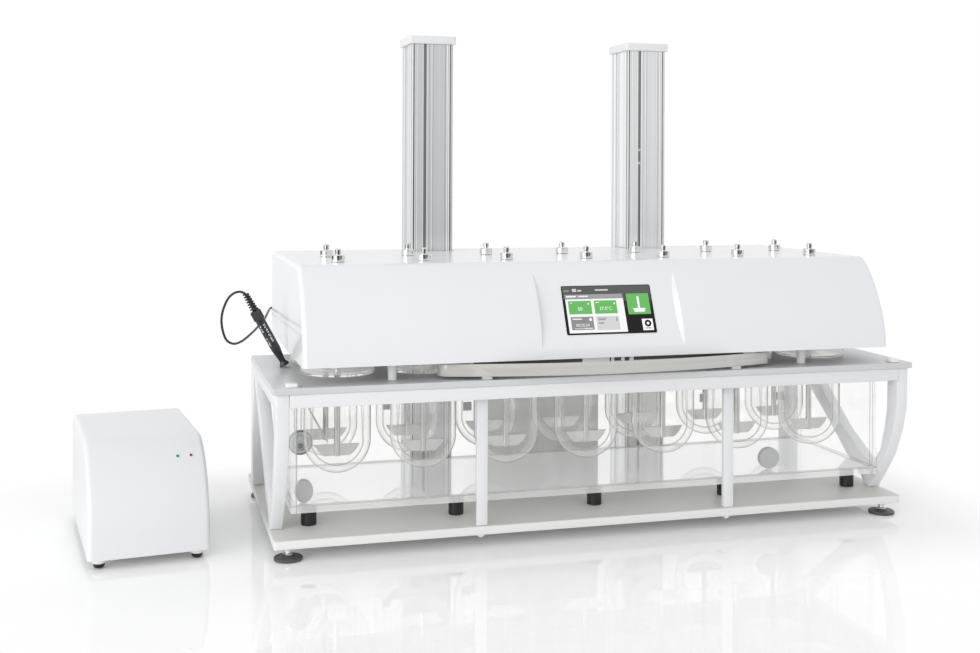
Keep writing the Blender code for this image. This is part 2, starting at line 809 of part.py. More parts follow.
def make_head(parent, finish):
    front = front_profile(HEAD_FRONT_SHARES, -HEAD_FRONT, HEAD_BOTTOM, HEAD_RAKE_DEPTH, HEAD_HEIGHT)
    corners = [front[0], (HEAD_REAR, HEAD_BOTTOM), (HEAD_REAR, HEAD_TOP), *reversed(front[1:])]
    radii = [0] * len(corners)
    radii[2] = HEAD_EDGE_RADIUS
    half = HEAD_LENGTH / 2
    cover, hollow = hood(
        "head_cover", corners, radii, half, HEAD_WALL, HEAD_END_RADIUS, finish["powder"], parent
    )
    radius = polygon_radius(SHAFT_RADIUS + SHAFT_CLEARANCE, HOLE_SEGMENTS)
    low = HEAD_TOP - HEAD_WALL - OVERRUN / 2
    high = HEAD_TOP + OVERRUN
    holes = station_holes("cover_holes", radius, HOLE_SEGMENTS, low, high, parent)
    combine(cover, holes, "DIFFERENCE")
    notches = tower_notches("cover_notches", HEAD_BOTTOM - OVERRUN, high, parent)
    combine(cover, notches, "DIFFERENCE")
    make_panel(front, cover, hollow, parent, finish)
    shape = bmesh.new()
    low = -HEAD_REAR - SOCKET_LENGTH
    high = -HEAD_REAR + SINK
    profile = ((0, low), (SOCKET_RADIUS, low), (SOCKET_RADIUS, high), (0, high))
    add_lathe(shape, profile, HOLE_SEGMENTS)
    mesh = mesh_from("cable_socket", shape)
    turn = (math.pi / 2, 0, 0)
    socket = place("cable_socket", mesh, None, parent, (SOCKET_X, 0, SOCKET_Z), turn)
    combine(cover, socket, "UNION")
    make_chassis(front, parent, finish)
    make_drive(parent, finish)


def front_profile(shares, front, bottom, depth, height):
    # A front edge's (y, z) points from the bottom up, out of its table of shares.
    return [(front + depth * (1 - ahead), bottom + height * up) for up, ahead in shares]


def at_height(front, height):
    # The point at this height on a front edge.
    for low, high in zip(front, front[1:]):
        if height <= high[1]:
            return along(low, high, height)
    return front[-1]


def make_panel(front, cover, hollow, parent, finish):
    # The flat panel sunk into the curved front, drawn lying flat with its low edge at y = 0, and
    # then turned to stand between the two heights where it leaves the curve.
    low = Vector(at_height(front, HEAD_BOTTOM + PANEL_LOW))
    high = Vector(at_height(front, HEAD_BOTTOM + PANEL_HIGH))
    up = (high - low).normalized()
    length = (high - low).length
    stations_up = [(-OVERRUN, 0), (0, 0)]
    for point in front:
        step = Vector(point) - low
        if low.y < point[1] < high.y:
            stations_up.append((step.dot(up), step.y * up.x - step.x * up.y))
    stations_up += [(length, 0), (length + OVERRUN, 0)]
    where = (0, low.x, low.y)
    turn = (math.atan2(up.y, up.x), 0, 0)
    shape = bmesh.new()
    rings = []
    for at, depth in stations_up:
        foot = PANEL_HALF - PANEL_DRAFT * depth
        lip = PANEL_HALF + PANEL_DRAFT * OVERRUN
        ring = ((-foot, 0), (foot, 0), (lip, depth + OVERRUN), (-lip, depth + OVERRUN))
        rings.append([shape.verts.new((x, at, z)) for x, z in ring])
    shape.faces.new(rings[0])
    shape.faces.new(rings[-1])
    for first, second in zip(rings, rings[1:]):
        for i in range(len(first)):
            j = (i + 1) % len(first)
            shape.faces.new((first[i], first[j], second[j], second[i]))
    recess = place("panel_recess", mesh_from("panel_recess", shape), None, parent, where, turn)
    backing_shape = bmesh.new()
    reach = PANEL_HALF + HEAD_WALL
    sides = (-reach, reach, -OVERRUN, length + OVERRUN)
    add_prism(backing_shape, rectangle(*sides), -HEAD_WALL, 2 * OVERRUN)
    mesh = mesh_from("panel_backing", backing_shape)
    backing = place("panel_backing", mesh, None, parent, where, turn)
    combine(hollow, backing, "DIFFERENCE")
    combine(cover, recess, "DIFFERENCE")
    centre = low + up * SCREEN_RISE
    make_screen(cover, (0, centre.x, centre.y), turn, parent, finish)


def make_screen(cover, where, turn, parent, finish):
    half = SCREEN_WIDTH / 2
    tall = SCREEN_HEIGHT / 2
    shape = bmesh.new()
    outline = rounded(rectangle(-half, half, -tall, tall), (SCREEN_CORNER,) * 4, 2)
    add_prism(shape, outline, -SCREEN_DEPTH, SCREEN_PROUD)
    mesh = mesh_from("touch_screen", shape)
    place("touch_screen", mesh, finish["screen"], parent, where, turn)
    shape = bmesh.new()
    sides = (-half - GAP, half + GAP, -tall - GAP, tall + GAP)
    outline = rounded(rectangle(*sides), (SCREEN_CORNER,) * 4, 2)
    add_prism(shape, outline, -SCREEN_DEPTH, OVERRUN)
    mesh = mesh_from("screen_window", shape)
    window = place("screen_window", mesh, None, parent, where, turn)
    combine(cover, window, "DIFFERENCE")


def inside_front(front, height, wall):
    # How far forward something behind a hood's front may reach, at this height and below it.
    bottom = Vector(front[0])
    first = Vector(front[1]) - bottom
    return along(front[0], front[1], height)[0] + wall * first.length / first.y + GAP


def make_chassis(front, parent, finish):
    front = inside_front(front, CHASSIS_TOP, HEAD_WALL)
    half = HEAD_LENGTH / 2 - HEAD_WALL - GAP
    bottom = HEAD_BOTTOM + CHASSIS_RECESS
    sides = (-half, half, front, HEAD_REAR - HEAD_WALL - GAP)
    chassis = slab("head_chassis", sides, bottom, CHASSIS_TOP, 0, finish["aluminium"], parent)
    low = bottom - OVERRUN
    high = CHASSIS_TOP + OVERRUN
    radius = polygon_radius(SHAFT_RADIUS + SHAFT_CLEARANCE, HOLE_SEGMENTS)
    holes = station_holes("chassis_holes", radius, HOLE_SEGMENTS, low, high, parent)
    combine(chassis, holes, "DIFFERENCE")
    notches = tower_notches("chassis_notches", low, high, parent)
    combine(chassis, notches, "DIFFERENCE")


def make_drive(parent, finish):
    # One belt runs round the outside of all fourteen pulleys, and past the motor's.
    shape = bmesh.new()
    pulley_bottom = BELT_BOTTOM - (PULLEY_HEIGHT - BELT_HEIGHT) / 2
    pulley_top = pulley_bottom + PULLEY_HEIGHT
    motor_top = CHASSIS_TOP + GAP + MOTOR_HEIGHT
    profile = (
        (0, CHASSIS_TOP + GAP),
        (MOTOR_RADIUS, CHASSIS_TOP + GAP),
        (MOTOR_RADIUS, motor_top),
        (MOTOR_SHAFT_RADIUS, motor_top),
        (MOTOR_SHAFT_RADIUS, pulley_bottom),
        (PULLEY_RADIUS, pulley_bottom),
        (PULLEY_RADIUS, pulley_top),
        (0, pulley_top),
    )
    add_lathe(shape, profile, SHAFT_SEGMENTS)
    where = (MOTOR_COLUMN_SHARE * COLUMN_SPACING, ROW_SPACING, 0)
    place("drive_motor", mesh_from("drive_motor", shape), finish["plastic"], parent, where)
    inside = polygon_radius(PULLEY_RADIUS + GAP, 4 * BELT_CORNER_STEPS)
    belt = belt_loop("drive_belt", inside + BELT_THICK, 0, finish["rubber"], parent)
    core = belt_loop("belt_core", inside, OVERRUN, None, parent)
    combine(belt, core, "DIFFERENCE")


def belt_loop(name, radius, extra, finish, parent):
    reach = (COLUMNS - 1) / 2 * COLUMN_SPACING + radius
    corners = rectangle(-reach, reach, -radius, ROW_SPACING + radius)
    outline = rounded(corners, (radius,) * 4, BELT_CORNER_STEPS)
    shape = bmesh.new()
    add_prism(shape, outline, BELT_BOTTOM - extra, BELT_BOTTOM + BELT_HEIGHT + extra)
    return place(name, mesh_from(name, shape), finish, parent)


def make_towers(fixed, lift, finish):
    for name, side in (("left", -1), ("right", 1)):
        x = side * TOWER_X
        half = TOWER_WIDTH / 2
        rear = TOWER_FRONT + TOWER_DEPTH
        shape = bmesh.new()
        outline = slotted(rectangle(x - half, x + half, TOWER_FRONT, rear))
        add_prism(shape, outline, GAP, TOWER_TOP)
        full = name + "_tower"
        place(full, mesh_from(full, shape), finish["aluminium"], fixed)
        sides = (
            x - half - CAP_OVERHANG,
            x + half + CAP_OVERHANG,
            TOWER_FRONT - CAP_OVERHANG,
            rear + CAP_OVERHANG,
        )
        low = TOWER_TOP + GAP
        full = name + "_tower_cap"
        slab(full, sides, low, low + CAP_HEIGHT, CAP_CORNER, finish["powder"], fixed)
        inner = half + GAP
        outer = inner + CARRIAGE_CHEEK
        front = TOWER_FRONT - GAP
        # A U that holds the tower's front and both of its sides.
        outline = [
            (x - outer, front - CARRIAGE_FRONT),
            (x + outer, front - CARRIAGE_FRONT),
            (x + outer, front + CARRIAGE_REACH),
            (x + inner, front + CARRIAGE_REACH),
            (x + inner, front),
            (x - inner, front),
            (x - inner, front + CARRIAGE_REACH),
            (x - outer, front + CARRIAGE_REACH),
        ]
        shape = bmesh.new()
        low = CHASSIS_TOP + GAP
        add_prism(shape, outline, low, low + CARRIAGE_HEIGHT)
        full = name + "_lift_carriage"
        place(full, mesh_from(full, shape), finish["steel"], lift)


def slotted(corners):
    # A profile with the same number of grooves sunk into each side.
    outline = []
    for i, corner in enumerate(corners):
        start = Vector(corner)
        side = Vector(corners[(i + 1) % len(corners)]) - start
        step = side.normalized()
        inwards = Vector((-step.y, step.x)) * TOWER_SLOT_DEPTH
        outline.append(tuple(start))
        for slot in range(TOWER_SLOTS):
            middle = start + side * (slot + 0.5) / TOWER_SLOTS
            near = middle - step * TOWER_SLOT_WIDTH / 2
            far = middle + step * TOWER_SLOT_WIDTH / 2
            outline += [tuple(near), tuple(near + inwards), tuple(far + inwards), tuple(far)]
    return outline


def make_supply(parent, finish):
    front = SUPPLY_REAR - SUPPLY_DEPTH
    corners = [
        (SUPPLY_LEFT, front),
        (DUCT_LEFT, front),
        (DUCT_LEFT, front - DUCT_DEPTH),
        (DUCT_RIGHT, front - DUCT_DEPTH),
        (DUCT_RIGHT, front),
        (SUPPLY_RIGHT, front),
        (SUPPLY_RIGHT, SUPPLY_REAR),
        (SUPPLY_LEFT, SUPPLY_REAR),
    ]
    radii = [SUPPLY_CORNER if i in (0, 5, 6, 7) else 0 for i in range(len(corners))]
    shape = bmesh.new()
    add_prism(shape, rounded(corners, radii, 2), GAP, SUPPLY_TOP)
    place("supply_housing", mesh_from("supply_housing", shape), finish["grey"], parent)


def shield_outline(inset, back):
    half = SHIELD_HALF - inset
    front = SHIELD_FRONT - inset
    sagitta = SHIELD_FRONT - SHIELD_END
    radius = (half**2 + sagitta**2) / (2 * sagitta)
    reach = math.asin(half / radius)
    corners = []
    for i in range(SHIELD_ARC_STEPS + 1):
        angle = reach * (2 * i / SHIELD_ARC_STEPS - 1)
        corners.append((radius * math.sin(angle), radius * (1 - math.cos(angle)) - front))
    corners += [(half, -back), (-half, -back)]
    radii = [0] * len(corners)
    radii[0] = SHIELD_CORNER - inset
    radii[SHIELD_ARC_STEPS] = SHIELD_CORNER - inset
    return rounded(corners, radii)


def make_shield(parent, finish):
    shape = bmesh.new()
    top = SHIELD_BOTTOM + SHIELD_HEIGHT
    add_prism(shape, shield_outline(0, SHIELD_BACK), SHIELD_BOTTOM, top)
    shield = place("front_shield", mesh_from("front_shield", shape), finish["powder"], parent)
    shape = bmesh.new()
    outline = shield_outline(SHIELD_WALL, SHIELD_BACK - OVERRUN)
    add_prism(shape, outline, SHIELD_BOTTOM - OVERRUN, top + OVERRUN)
    core = place("shield_core", mesh_from("shield_core", shape), None, parent)
    combine(shield, core, "DIFFERENCE")
    shape = bmesh.new()
    for side in (-1, 1):
        x = side * POST_COLUMN_SHARE * COLUMN_SPACING
        y = -PLATE_FRONT + PAD_SETBACK
        outline = rectangle(x - PAD_WIDTH / 2, x + PAD_WIDTH / 2, y, y + PAD_DEPTH)
        add_prism(shape, outline, PLATE_TOP + GAP, SHIELD_BOTTOM + SINK)
    pads = place("shield_pads", mesh_from("shield_pads", shape), None, parent)
    combine(shield, pads, "UNION")


def probe_height():
    # The tilted flare's lowest point rests on the plate.
    return PLATE_TOP + GAP + PROBE_FLARE_RADIUS * math.sin(PROBE_LEAN)


def make_probe(parent, finish):
    handle = PROBE_FLARE_LENGTH + PROBE_TAPER_LENGTH
    grip = handle + PROBE_HANDLE_LENGTH
    relief = grip + PROBE_GRIP_LENGTH
    end = relief + PROBE_RELIEF_LENGTH
    profile = (
        (0, -PROBE_NEEDLE_LENGTH),
        (PROBE_NEEDLE_RADIUS, -PROBE_NEEDLE_LENGTH),
        (PROBE_NEEDLE_RADIUS, 0),
        (PROBE_FLARE_RADIUS, 0),
        (PROBE_NECK_RADIUS, PROBE_FLARE_LENGTH),
        (PROBE_HANDLE_RADIUS, handle),
        (PROBE_HANDLE_RADIUS, grip),
        (PROBE_GRIP_RADIUS, grip),
        (PROBE_GRIP_RADIUS, relief),
        (PROBE_RELIEF_RADIUS, relief),
        (PROBE_RELIEF_TIP_RADIUS, end),
        (0, end),
    )
    shape = bmesh.new()
    add_lathe(shape, profile, PROBE_SEGMENTS)
    mesh = mesh_from("temperature_probe", shape)
    where = (PROBE_X, PROBE_Y, probe_height())
    turn = (0, -PROBE_LEAN, 0)
    place("temperature_probe", mesh, finish["plastic"], parent, where, turn)


def make_cable(parent, finish):
    curve = bpy.data.curves.new("probe_cable", "CURVE")
    curve.dimensions = "3D"
    curve.bevel_depth = CABLE_RADIUS
    curve.bevel_resolution = 2
    curve.use_fill_caps = True
    spline = curve.splines.new("POLY")
    route = smooth_route(CABLE_ROUTE, CABLE_STEP)
    spline.points.add(len(route) - 1)
    for point, at in zip(spline.points, route):
        point.co = (*at, 1)
    place("probe_cable", curve, finish["rubber"], parent)


def make_heater(parent, finish):
    half = HEATER_WIDTH / 2
    where = (
        HEATER_X + half * math.cos(HEATER_TURN),
        HEATER_Y + half * math.sin(HEATER_TURN),
        FLOOR + HEATER_LIFT,
    )
    stand = empty("heater_stand", where, parent, HEATER_TURN)
    front = front_profile(HEATER_FRONT_SHARES, 0, 0, HEATER_RAKE_DEPTH, HEATER_HEIGHT)
    corners = [front[0], (HEATER_DEPTH, 0), (HEATER_DEPTH, HEATER_HEIGHT), *reversed(front[1:])]
    radii = [0] * len(corners)
    radii[2] = HEATER_TOP_RADIUS
    name = "heater_housing"
    hood(name, corners, radii, half, HEATER_WALL, HEATER_END_RADIUS, finish["powder"], stand)
    low = HEATER_RECESS
    high = HEATER_RECESS + HEATER_FLOOR
    inset = HEATER_WALL + GAP
    front = inside_front(front, high, HEATER_WALL)
    sides = (inset - half, half - inset, front, HEATER_DEPTH - inset)
    base = slab("heater_base", sides, low, high, 0, finish["grey"], stand)
    shape = bmesh.new()
    for x in (HEATER_FOOT_INSET - half, half - HEATER_FOOT_INSET):
        for y in (HEATER_FOOT_INSET, HEATER_DEPTH - HEATER_FOOT_INSET):
            profile = (
                (0, -HEATER_LIFT),
                (HEATER_FOOT_TIP_RADIUS, -HEATER_LIFT),
                (HEATER_FOOT_RADIUS, -HEATER_LIFT + HEATER_FOOT_RADIUS),
                (HEATER_FOOT_RADIUS, low + SINK),
                (0, low + SINK),
            )
            add_lathe(shape, profile, HOLE_SEGMENTS, (x, y))
    feet = place("heater_feet", mesh_from("heater_feet", shape), None, stand)
    combine(base, feet, "UNION")


def centre_part(machine, cable):
    # Moves everything so that the origin is the middle of the underside. The cable doesn't count.
    bpy.context.view_layer.update()
    graph = bpy.context.evaluated_depsgraph_get()
    points = []
    for made in bpy.data.objects:
        if made.type == "EMPTY" or made.hide_render or made.name == cable:
            continue
        seen = made.evaluated_get(graph)
        points += [seen.matrix_world @ vert.co for vert in seen.to_mesh().vertices]
        seen.to_mesh_clear()
    low = [min(point[i] for point in points) for i in range(3)]
    high = [max(point[i] for point in points) for i in range(3)]
    machine.location = (-(low[0] + high[0]) / 2, -(low[1] + high[1]) / 2, -low[2])
    bpy.context.view_layer.update()


def main():
    clear_scene()
    finish = make_finishes()
    machine = empty("machine", (0, 0, 0))
    lift = empty("head_lift", (0, 0, 0), machine)
    make_base(machine, finish)
    make_vessel_plate(machine, finish)
    make_supports(machine, finish)
    make_bath(machine, finish)
    make_vessels(machine, finish)
    make_towers(machine, lift, finish)
    make_supply(machine, finish)
    make_shield(machine, finish)
    make_head(lift, finish)
    make_stirrers(lift, finish)
    make_probe(machine, finish)
    make_cable(machine, finish)
    make_heater(machine, finish)
    centre_part(machine, "probe_cable")


main()
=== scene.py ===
import math
from functools import partialmethod

import bmesh
import bpy
from mathutils import Matrix, Vector


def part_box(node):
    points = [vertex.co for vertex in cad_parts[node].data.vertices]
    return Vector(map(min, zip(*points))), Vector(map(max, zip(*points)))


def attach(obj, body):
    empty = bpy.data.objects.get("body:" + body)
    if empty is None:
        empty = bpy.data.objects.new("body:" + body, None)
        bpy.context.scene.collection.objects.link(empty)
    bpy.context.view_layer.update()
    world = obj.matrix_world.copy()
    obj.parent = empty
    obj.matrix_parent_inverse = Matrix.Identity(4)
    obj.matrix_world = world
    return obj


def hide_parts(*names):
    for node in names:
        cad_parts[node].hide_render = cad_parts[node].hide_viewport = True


# Tablet dissolution tester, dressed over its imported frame. Metres.

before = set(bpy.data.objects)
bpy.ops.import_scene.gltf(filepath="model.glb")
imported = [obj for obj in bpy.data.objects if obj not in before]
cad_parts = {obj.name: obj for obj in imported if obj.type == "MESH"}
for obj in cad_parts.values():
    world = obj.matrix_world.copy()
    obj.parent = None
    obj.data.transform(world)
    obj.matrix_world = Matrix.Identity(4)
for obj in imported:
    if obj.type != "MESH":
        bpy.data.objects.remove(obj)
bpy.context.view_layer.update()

# pieces are drawn about the machine's own zero: middle column, front row, top of the base plate
baseLow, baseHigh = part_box("base_plate")
zero = Vector(((baseLow.x + baseHigh.x) / 2, baseLow.y + 0.1156, baseHigh.z))
toFrame = Matrix.Translation(zero)
columns, columnSpacing, rowSpacing = 7, 0.144, 0.130
floorLevel, plateTop, onPlate = -0.035, 0.237, 0.2373
print("frame loaded, machine zero at", [round(value, 4) for value in zero])


# node trees

class Wire:
    # an output socket that can be used in sums
    def __init__(self, board, socket):
        self.board, self.socket = board, socket

    def maths(self, operation, *others):
        values = dict(enumerate((self, *others)))
        return self.board.add("ShaderNodeMath", {"operation": operation}, values)

    def __rsub__(self, other):
        return self.board.add("ShaderNodeMath", {"operation": "SUBTRACT"}, {0: other, 1: self})

    __add__ = __radd__ = partialmethod(maths, "ADD")
    __sub__ = partialmethod(maths, "SUBTRACT")
    __mul__ = __rmul__ = partialmethod(maths, "MULTIPLY")
    __pow__ = partialmethod(maths, "POWER")
    __gt__ = partialmethod(maths, "GREATER_THAN")
    __lt__ = partialmethod(maths, "LESS_THAN")
    __abs__ = partialmethod(maths, "ABSOLUTE")
    atLeast = partialmethod(maths, "MAXIMUM")


class Board:
    # a node tree, for a material or for geometry
    def __init__(self, tree):
        self.tree = tree

    def add(self, kind, settings=None, sockets=None, out=0):
        node = self.tree.nodes.new(kind)
        for name, value in (settings or {}).items():
            if name == "stops":
                ramp = node.color_ramp
                while len(ramp.elements) < len(value):
                    ramp.elements.new(1.0)
                for element, (at, colour) in zip(ramp.elements, value):
                    element.position, element.color = at, (*colour, 1)
            elif name == "steps":
                node.color_ramp.interpolation = value
            else:
                setattr(node, name, value)
        for key, value in (sockets or {}).items():
            if isinstance(value, Wire):
                self.tree.links.new(value.socket, node.inputs[key])
            else:
                node.inputs[key].default_value = value
        return Wire(self, node.outputs[out])

    def blend(self, factor, first, second, way="MIX"):
        return self.add("ShaderNodeMix", {"data_type": "RGBA", "blend_type": way},
                        {0: factor, 6: first, 7: second}, 2)

    def shades(self, factor, colour, low, high):
        return self.blend(factor, scaled(colour, low), scaled(colour, high))

    def ramp(self, value, stops, steps="LINEAR"):
        return self.add("ShaderNodeValToRGB", {"stops": stops, "steps": steps}, {"Fac": value})

    def spread(self, value, start, end, low, high, way="LINEAR"):
        return self.add("ShaderNodeMapRange", {"interpolation_type": way}, {
            "Value": value, "From Min": start, "From Max": end, "To Min": low, "To Max": high})

    def where(self):
        return self.add("ShaderNodeTexCoord", out="Object")

    def parts(self, vector):
        return [self.add("ShaderNodeSeparateXYZ", {}, {"Vector": vector}, axis) for axis in "XYZ"]

    def normal(self):
        return self.parts(self.add("ShaderNodeNewGeometry", out="Normal"))

    def noise(self, vector, scale, detail=2.0):
        sockets = {"Vector": vector, "Scale": scale, "Detail": detail}
        return self.add("ShaderNodeTexNoise", {}, sockets, "Fac")

    def stretched(self, vector, scale):
        return self.add("ShaderNodeMapping", {}, {"Vector": vector, "Scale": scale})

    def bump(self, height, distance):
        return self.add("ShaderNodeBump", {}, {"Height": height, "Distance": distance, "Strength": 1.0})

    def sheen(self):
        # how much a clear surface mirrors: the same from outside and from inside
        facing = self.add("ShaderNodeLayerWeight", {}, {"Blend": 0.5}, "Facing")
        return facing, 0.04 + facing ** 5 * 0.96

    def shader(self, kind, **sockets):
        return self.add("ShaderNode" + kind, {}, {
            name.replace("_", " "): value for name, value in sockets.items()})

    def mix(self, factor, first, second):
        return self.add("ShaderNodeMixShader", {}, {0: factor, 1: first, 2: second})

    def surface(self, sockets):
        return self.add("ShaderNodeBsdfPrincipled", {}, sockets)

    def finish(self, shader):
        out = self.tree.nodes.new("ShaderNodeOutputMaterial")
        self.tree.links.new(shader.socket, out.inputs["Surface"])


def recipe(draw):
    # from a drawing of a surface to a function that makes a named finish of it
    def make(name, *values):
        made = bpy.data.materials.new(name)
        made.use_nodes = True
        made.node_tree.nodes.clear()
        board = Board(made.node_tree)
        board.finish(draw(board, board.where(), *values))
        return made
    return make


def rgb(red, green, blue):
    return (red, green, blue, 1)


def scaled(colour, share):
    return rgb(*(min(channel * share, 1) for channel in colour[:3]))


# pieces and helper objects

def asMesh(name, shape, closed=True):
    # a closed drawing's faces are turned outwards
    if closed:
        bmesh.ops.recalc_face_normals(shape, faces=shape.faces)
    mesh = bpy.data.meshes.new(name)
    shape.to_mesh(mesh)
    shape.free()
    return mesh


def placed(name, data):
    made = bpy.data.objects.new(name, data)
    bpy.context.scene.collection.objects.link(made)
    return made


def addPiece(name, shape, finish, body="machine", nodes=(), angle=32, place=toFrame):
    # a finish of None stays as the mesh has it
    mesh = asMesh(name, shape) if isinstance(shape, bmesh.types.BMesh) else shape
    mesh.transform(place)
    if finish:
        mesh.materials.append(finishes[finish])
    mesh.shade_smooth()
    mesh.set_sharp_from_angle(angle=math.radians(angle))
    piece = placed(name, mesh)
    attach(piece, body)
    if nodes:
        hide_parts(*nodes)
    return piece


def tool(name, shape, closed=True):
    # a helper object in the machine's own coordinates, dropped before the end
    return placed(name, asMesh(name, shape, closed))


def baked(piece):
    # the mesh with the piece's modifiers carried out
    graph = bpy.context.evaluated_depsgraph_get()
    return bpy.data.meshes.new_from_object(piece.evaluated_get(graph))


def drop(*pieces):
    for piece in pieces:
        bpy.data.objects.remove(piece, do_unlink=True)


def carved(target, *cutters):
    # the mesh of one helper object less the others, and all of them go
    for cutter in cutters:
        step = target.modifiers.new(cutter.name, "BOOLEAN")
        step.operation, step.solver, step.object = "DIFFERENCE", "EXACT", cutter
    mesh = baked(target)
    drop(target, *cutters)
    return mesh


def refined(node, name, finish, width=0.001):
    # a copy of a CAD node with its edges softened
    shape = bmesh.new()
    shape.from_mesh(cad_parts[node].data)
    bmesh.ops.remove_doubles(shape, verts=shape.verts, dist=0.00001)
    bmesh.ops.dissolve_limit(shape, angle_limit=math.radians(1), verts=shape.verts,
                             edges=shape.edges)
    rims = [edge for edge in shape.edges
            if len(edge.link_faces) == 2 and edge.calc_face_angle(0) > math.radians(30)]
    bmesh.ops.bevel(shape, geom=rims, offset=width, segments=2, profile=0.5, affect="EDGES")
    addPiece(name, asMesh(name, shape, False), finish, nodes=(node,), angle=40, place=Matrix())


def dress(nodes, finish):
    # CAD solids that are shown as they are
    for node in nodes:
        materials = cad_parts[node].data.materials
        materials.clear()
        materials.append(finishes[finish])


# drawings: each draws a solid, in a new shape or in the one given, and returns the shape

def turning(degrees, axis):
    return Matrix.Rotation(math.radians(degrees), 4, axis)


def ringOf(shape, points):
    return [shape.verts.new(point) for point in points]


def around(count):
    return [(math.cos(math.tau * i / count), math.sin(math.tau * i / count)) for i in range(count)]


def loft(shape, rings):
    for first, second in zip(rings, rings[1:]):
        for i in range(len(first)):
            j = (i + 1) % len(first)
            shape.faces.new((first[i], first[j], second[j], second[i]))
    shape.faces.new(rings[0])
    shape.faces.new(rings[-1])
    return shape


def turned(profile, segments, centre=(0, 0), matrix=None, shape=None):
    # (radius, height) pairs turned about a vertical line, closed flat unless they come full circle
    shape = shape or bmesh.new()
    caps = [[(0, height)] if radius and profile[0] != profile[-1] else []
            for radius, height in (profile[0], profile[-1])]
    rings = []
    for radius, height in (*caps[0], *profile, *caps[1]):
        if radius == 0:
            rings.append(ringOf(shape, [(*centre, height)]))
        else:
            rings.append(ringOf(shape, [(centre[0] + radius * x, centre[1] + radius * y, height)
                                        for x, y in around(segments)]))
    for low, high in zip(rings, rings[1:]):
        for i in range(segments):
            j = (i + 1) % segments
            corners = (low[i % len(low)], low[j % len(low)], high[j % len(high)], high[i % len(high)])
            shape.faces.new(dict.fromkeys(corners))
    if matrix is not None:
        bmesh.ops.transform(shape, matrix=matrix, verts=[vert for ring in rings for vert in ring])
    return shape


def prism(outline, low, high, axis="z", shape=None):
    shape = shape or bmesh.new()
    order = {"y": (0, 2, 1), "z": (0, 1, 2)}[axis]
    rings = []
    for level in (low, high):
        points = [(*point, level) for point in outline]
        rings.append(ringOf(shape, [[point[i] for i in order] for point in points]))
    return loft(shape, rings)


def oblong(xLow, xHigh, yLow, yHigh, radius=0, steps=5):
    # a rectangle, with round corners if there is a radius
    if radius == 0:
        return [(xLow, yLow), (xHigh, yLow), (xHigh, yHigh), (xLow, yHigh)]
    middles = ((xHigh - radius, yLow + radius, -90), (xHigh - radius, yHigh - radius, 0),
               (xLow + radius, yHigh - radius, 90), (xLow + radius, yLow + radius, 180))
    angles = [[math.radians(start + 90 * step / steps) for step in range(steps + 1)]
              for _, _, start in middles]
    return [(x + radius * math.cos(angle), y + radius * math.sin(angle))
            for (x, y, _), corner in zip(middles, angles) for angle in corner]


def block(sides, low, high, radius, edge=0.0008, steps=3, shape=None):
    # a slab with round corners and softened top and bottom edges
    shape = shape or bmesh.new()
    xLow, xHigh, yLow, yHigh = sides
    rings = []
    for level, way in ((low, 1), (high, -1)):
        for turn in range(steps + 1)[::way]:
            angle = math.pi / 2 * turn / steps
            inset = edge * (1 - math.sin(angle))
            outline = oblong(xLow + inset, xHigh - inset, yLow + inset, yHigh - inset,
                             max(radius - inset, 0.0001))
            height = level + way * edge * (1 - math.cos(angle))
            rings.append(ringOf(shape, [(x, y, height) for x, y in outline]))
    return loft(shape, rings)


def stations():
    for row in range(2):
        for column in range(columns):
            yield row * columns + column + 1, (column - 3) * columnSpacing, row * rowSpacing


# geometry nodes for what repeats

def gridTree():
    # one shape repeated over a grid of rows and columns
    tree = bpy.data.node_groups.new("repeatedOverGrid", "GeometryNodeTree")
    board = Board(tree)
    kinds = {"Shape": "Object", "Columns": "Int", "Rows": "Int", "Width": "Float", "Depth": "Float",
             "Middle": "Vector", "Finish": "Material"}
    for name, kind in kinds.items():
        tree.interface.new_socket(name, in_out="INPUT", socket_type="NodeSocket" + kind)
    tree.interface.new_socket("Geometry", in_out="OUTPUT", socket_type="NodeSocketGeometry")
    given = tree.nodes.new("NodeGroupInput")
    wires = {name: Wire(board, given.outputs[name]) for name in kinds}
    grid = board.add("GeometryNodeMeshGrid", {}, {
        "Size X": wires["Width"], "Size Y": wires["Depth"],
        "Vertices X": wires["Columns"], "Vertices Y": wires["Rows"]})
    points = board.add("GeometryNodeTransform", {}, {"Geometry": grid, "Translation": wires["Middle"]})
    shape = board.add("GeometryNodeObjectInfo", {}, {"Object": wires["Shape"]}, "Geometry")
    copies = board.add("GeometryNodeInstanceOnPoints", {}, {"Points": points, "Instance": shape})
    real = board.add("GeometryNodeRealizeInstances", {}, {"Geometry": copies})
    dressed = board.add("GeometryNodeSetMaterial", {}, {"Geometry": real, "Material": wires["Finish"]})
    result = tree.nodes.new("NodeGroupOutput")
    tree.links.new(dressed.socket, result.inputs["Geometry"])
    return tree


repeatedOverGrid = gridTree()


def overGrid(shape, finish, count=(columns, 2), size=(columnSpacing * (columns - 1), rowSpacing),
             middle=(0, rowSpacing / 2, 0)):
    # the plain mesh that the tree makes of a shape
    helper, host = tool("repeated", shape), placed("host", bpy.data.meshes.new("host"))
    values = {"Shape": helper, "Columns": count[0], "Rows": count[1], "Width": size[0],
              "Depth": size[1], "Middle": middle, "Finish": finishes[finish]}
    step = host.modifiers.new("grown", "NODES")
    step.node_group = repeatedOverGrid
    for item in repeatedOverGrid.interface.items_tree:
        if item.in_out == "INPUT":
            step[item.identifier] = values[item.name]
    mesh = baked(host)
    drop(helper, host)
    return mesh


# camera, from the calibrated photograph

photograph = {"place": (-0.7506, -2.0422, 0.5631), "turn": -15.77, "roll": -0.25, "lens": 46.03,
              "shiftUp": -0.1563}


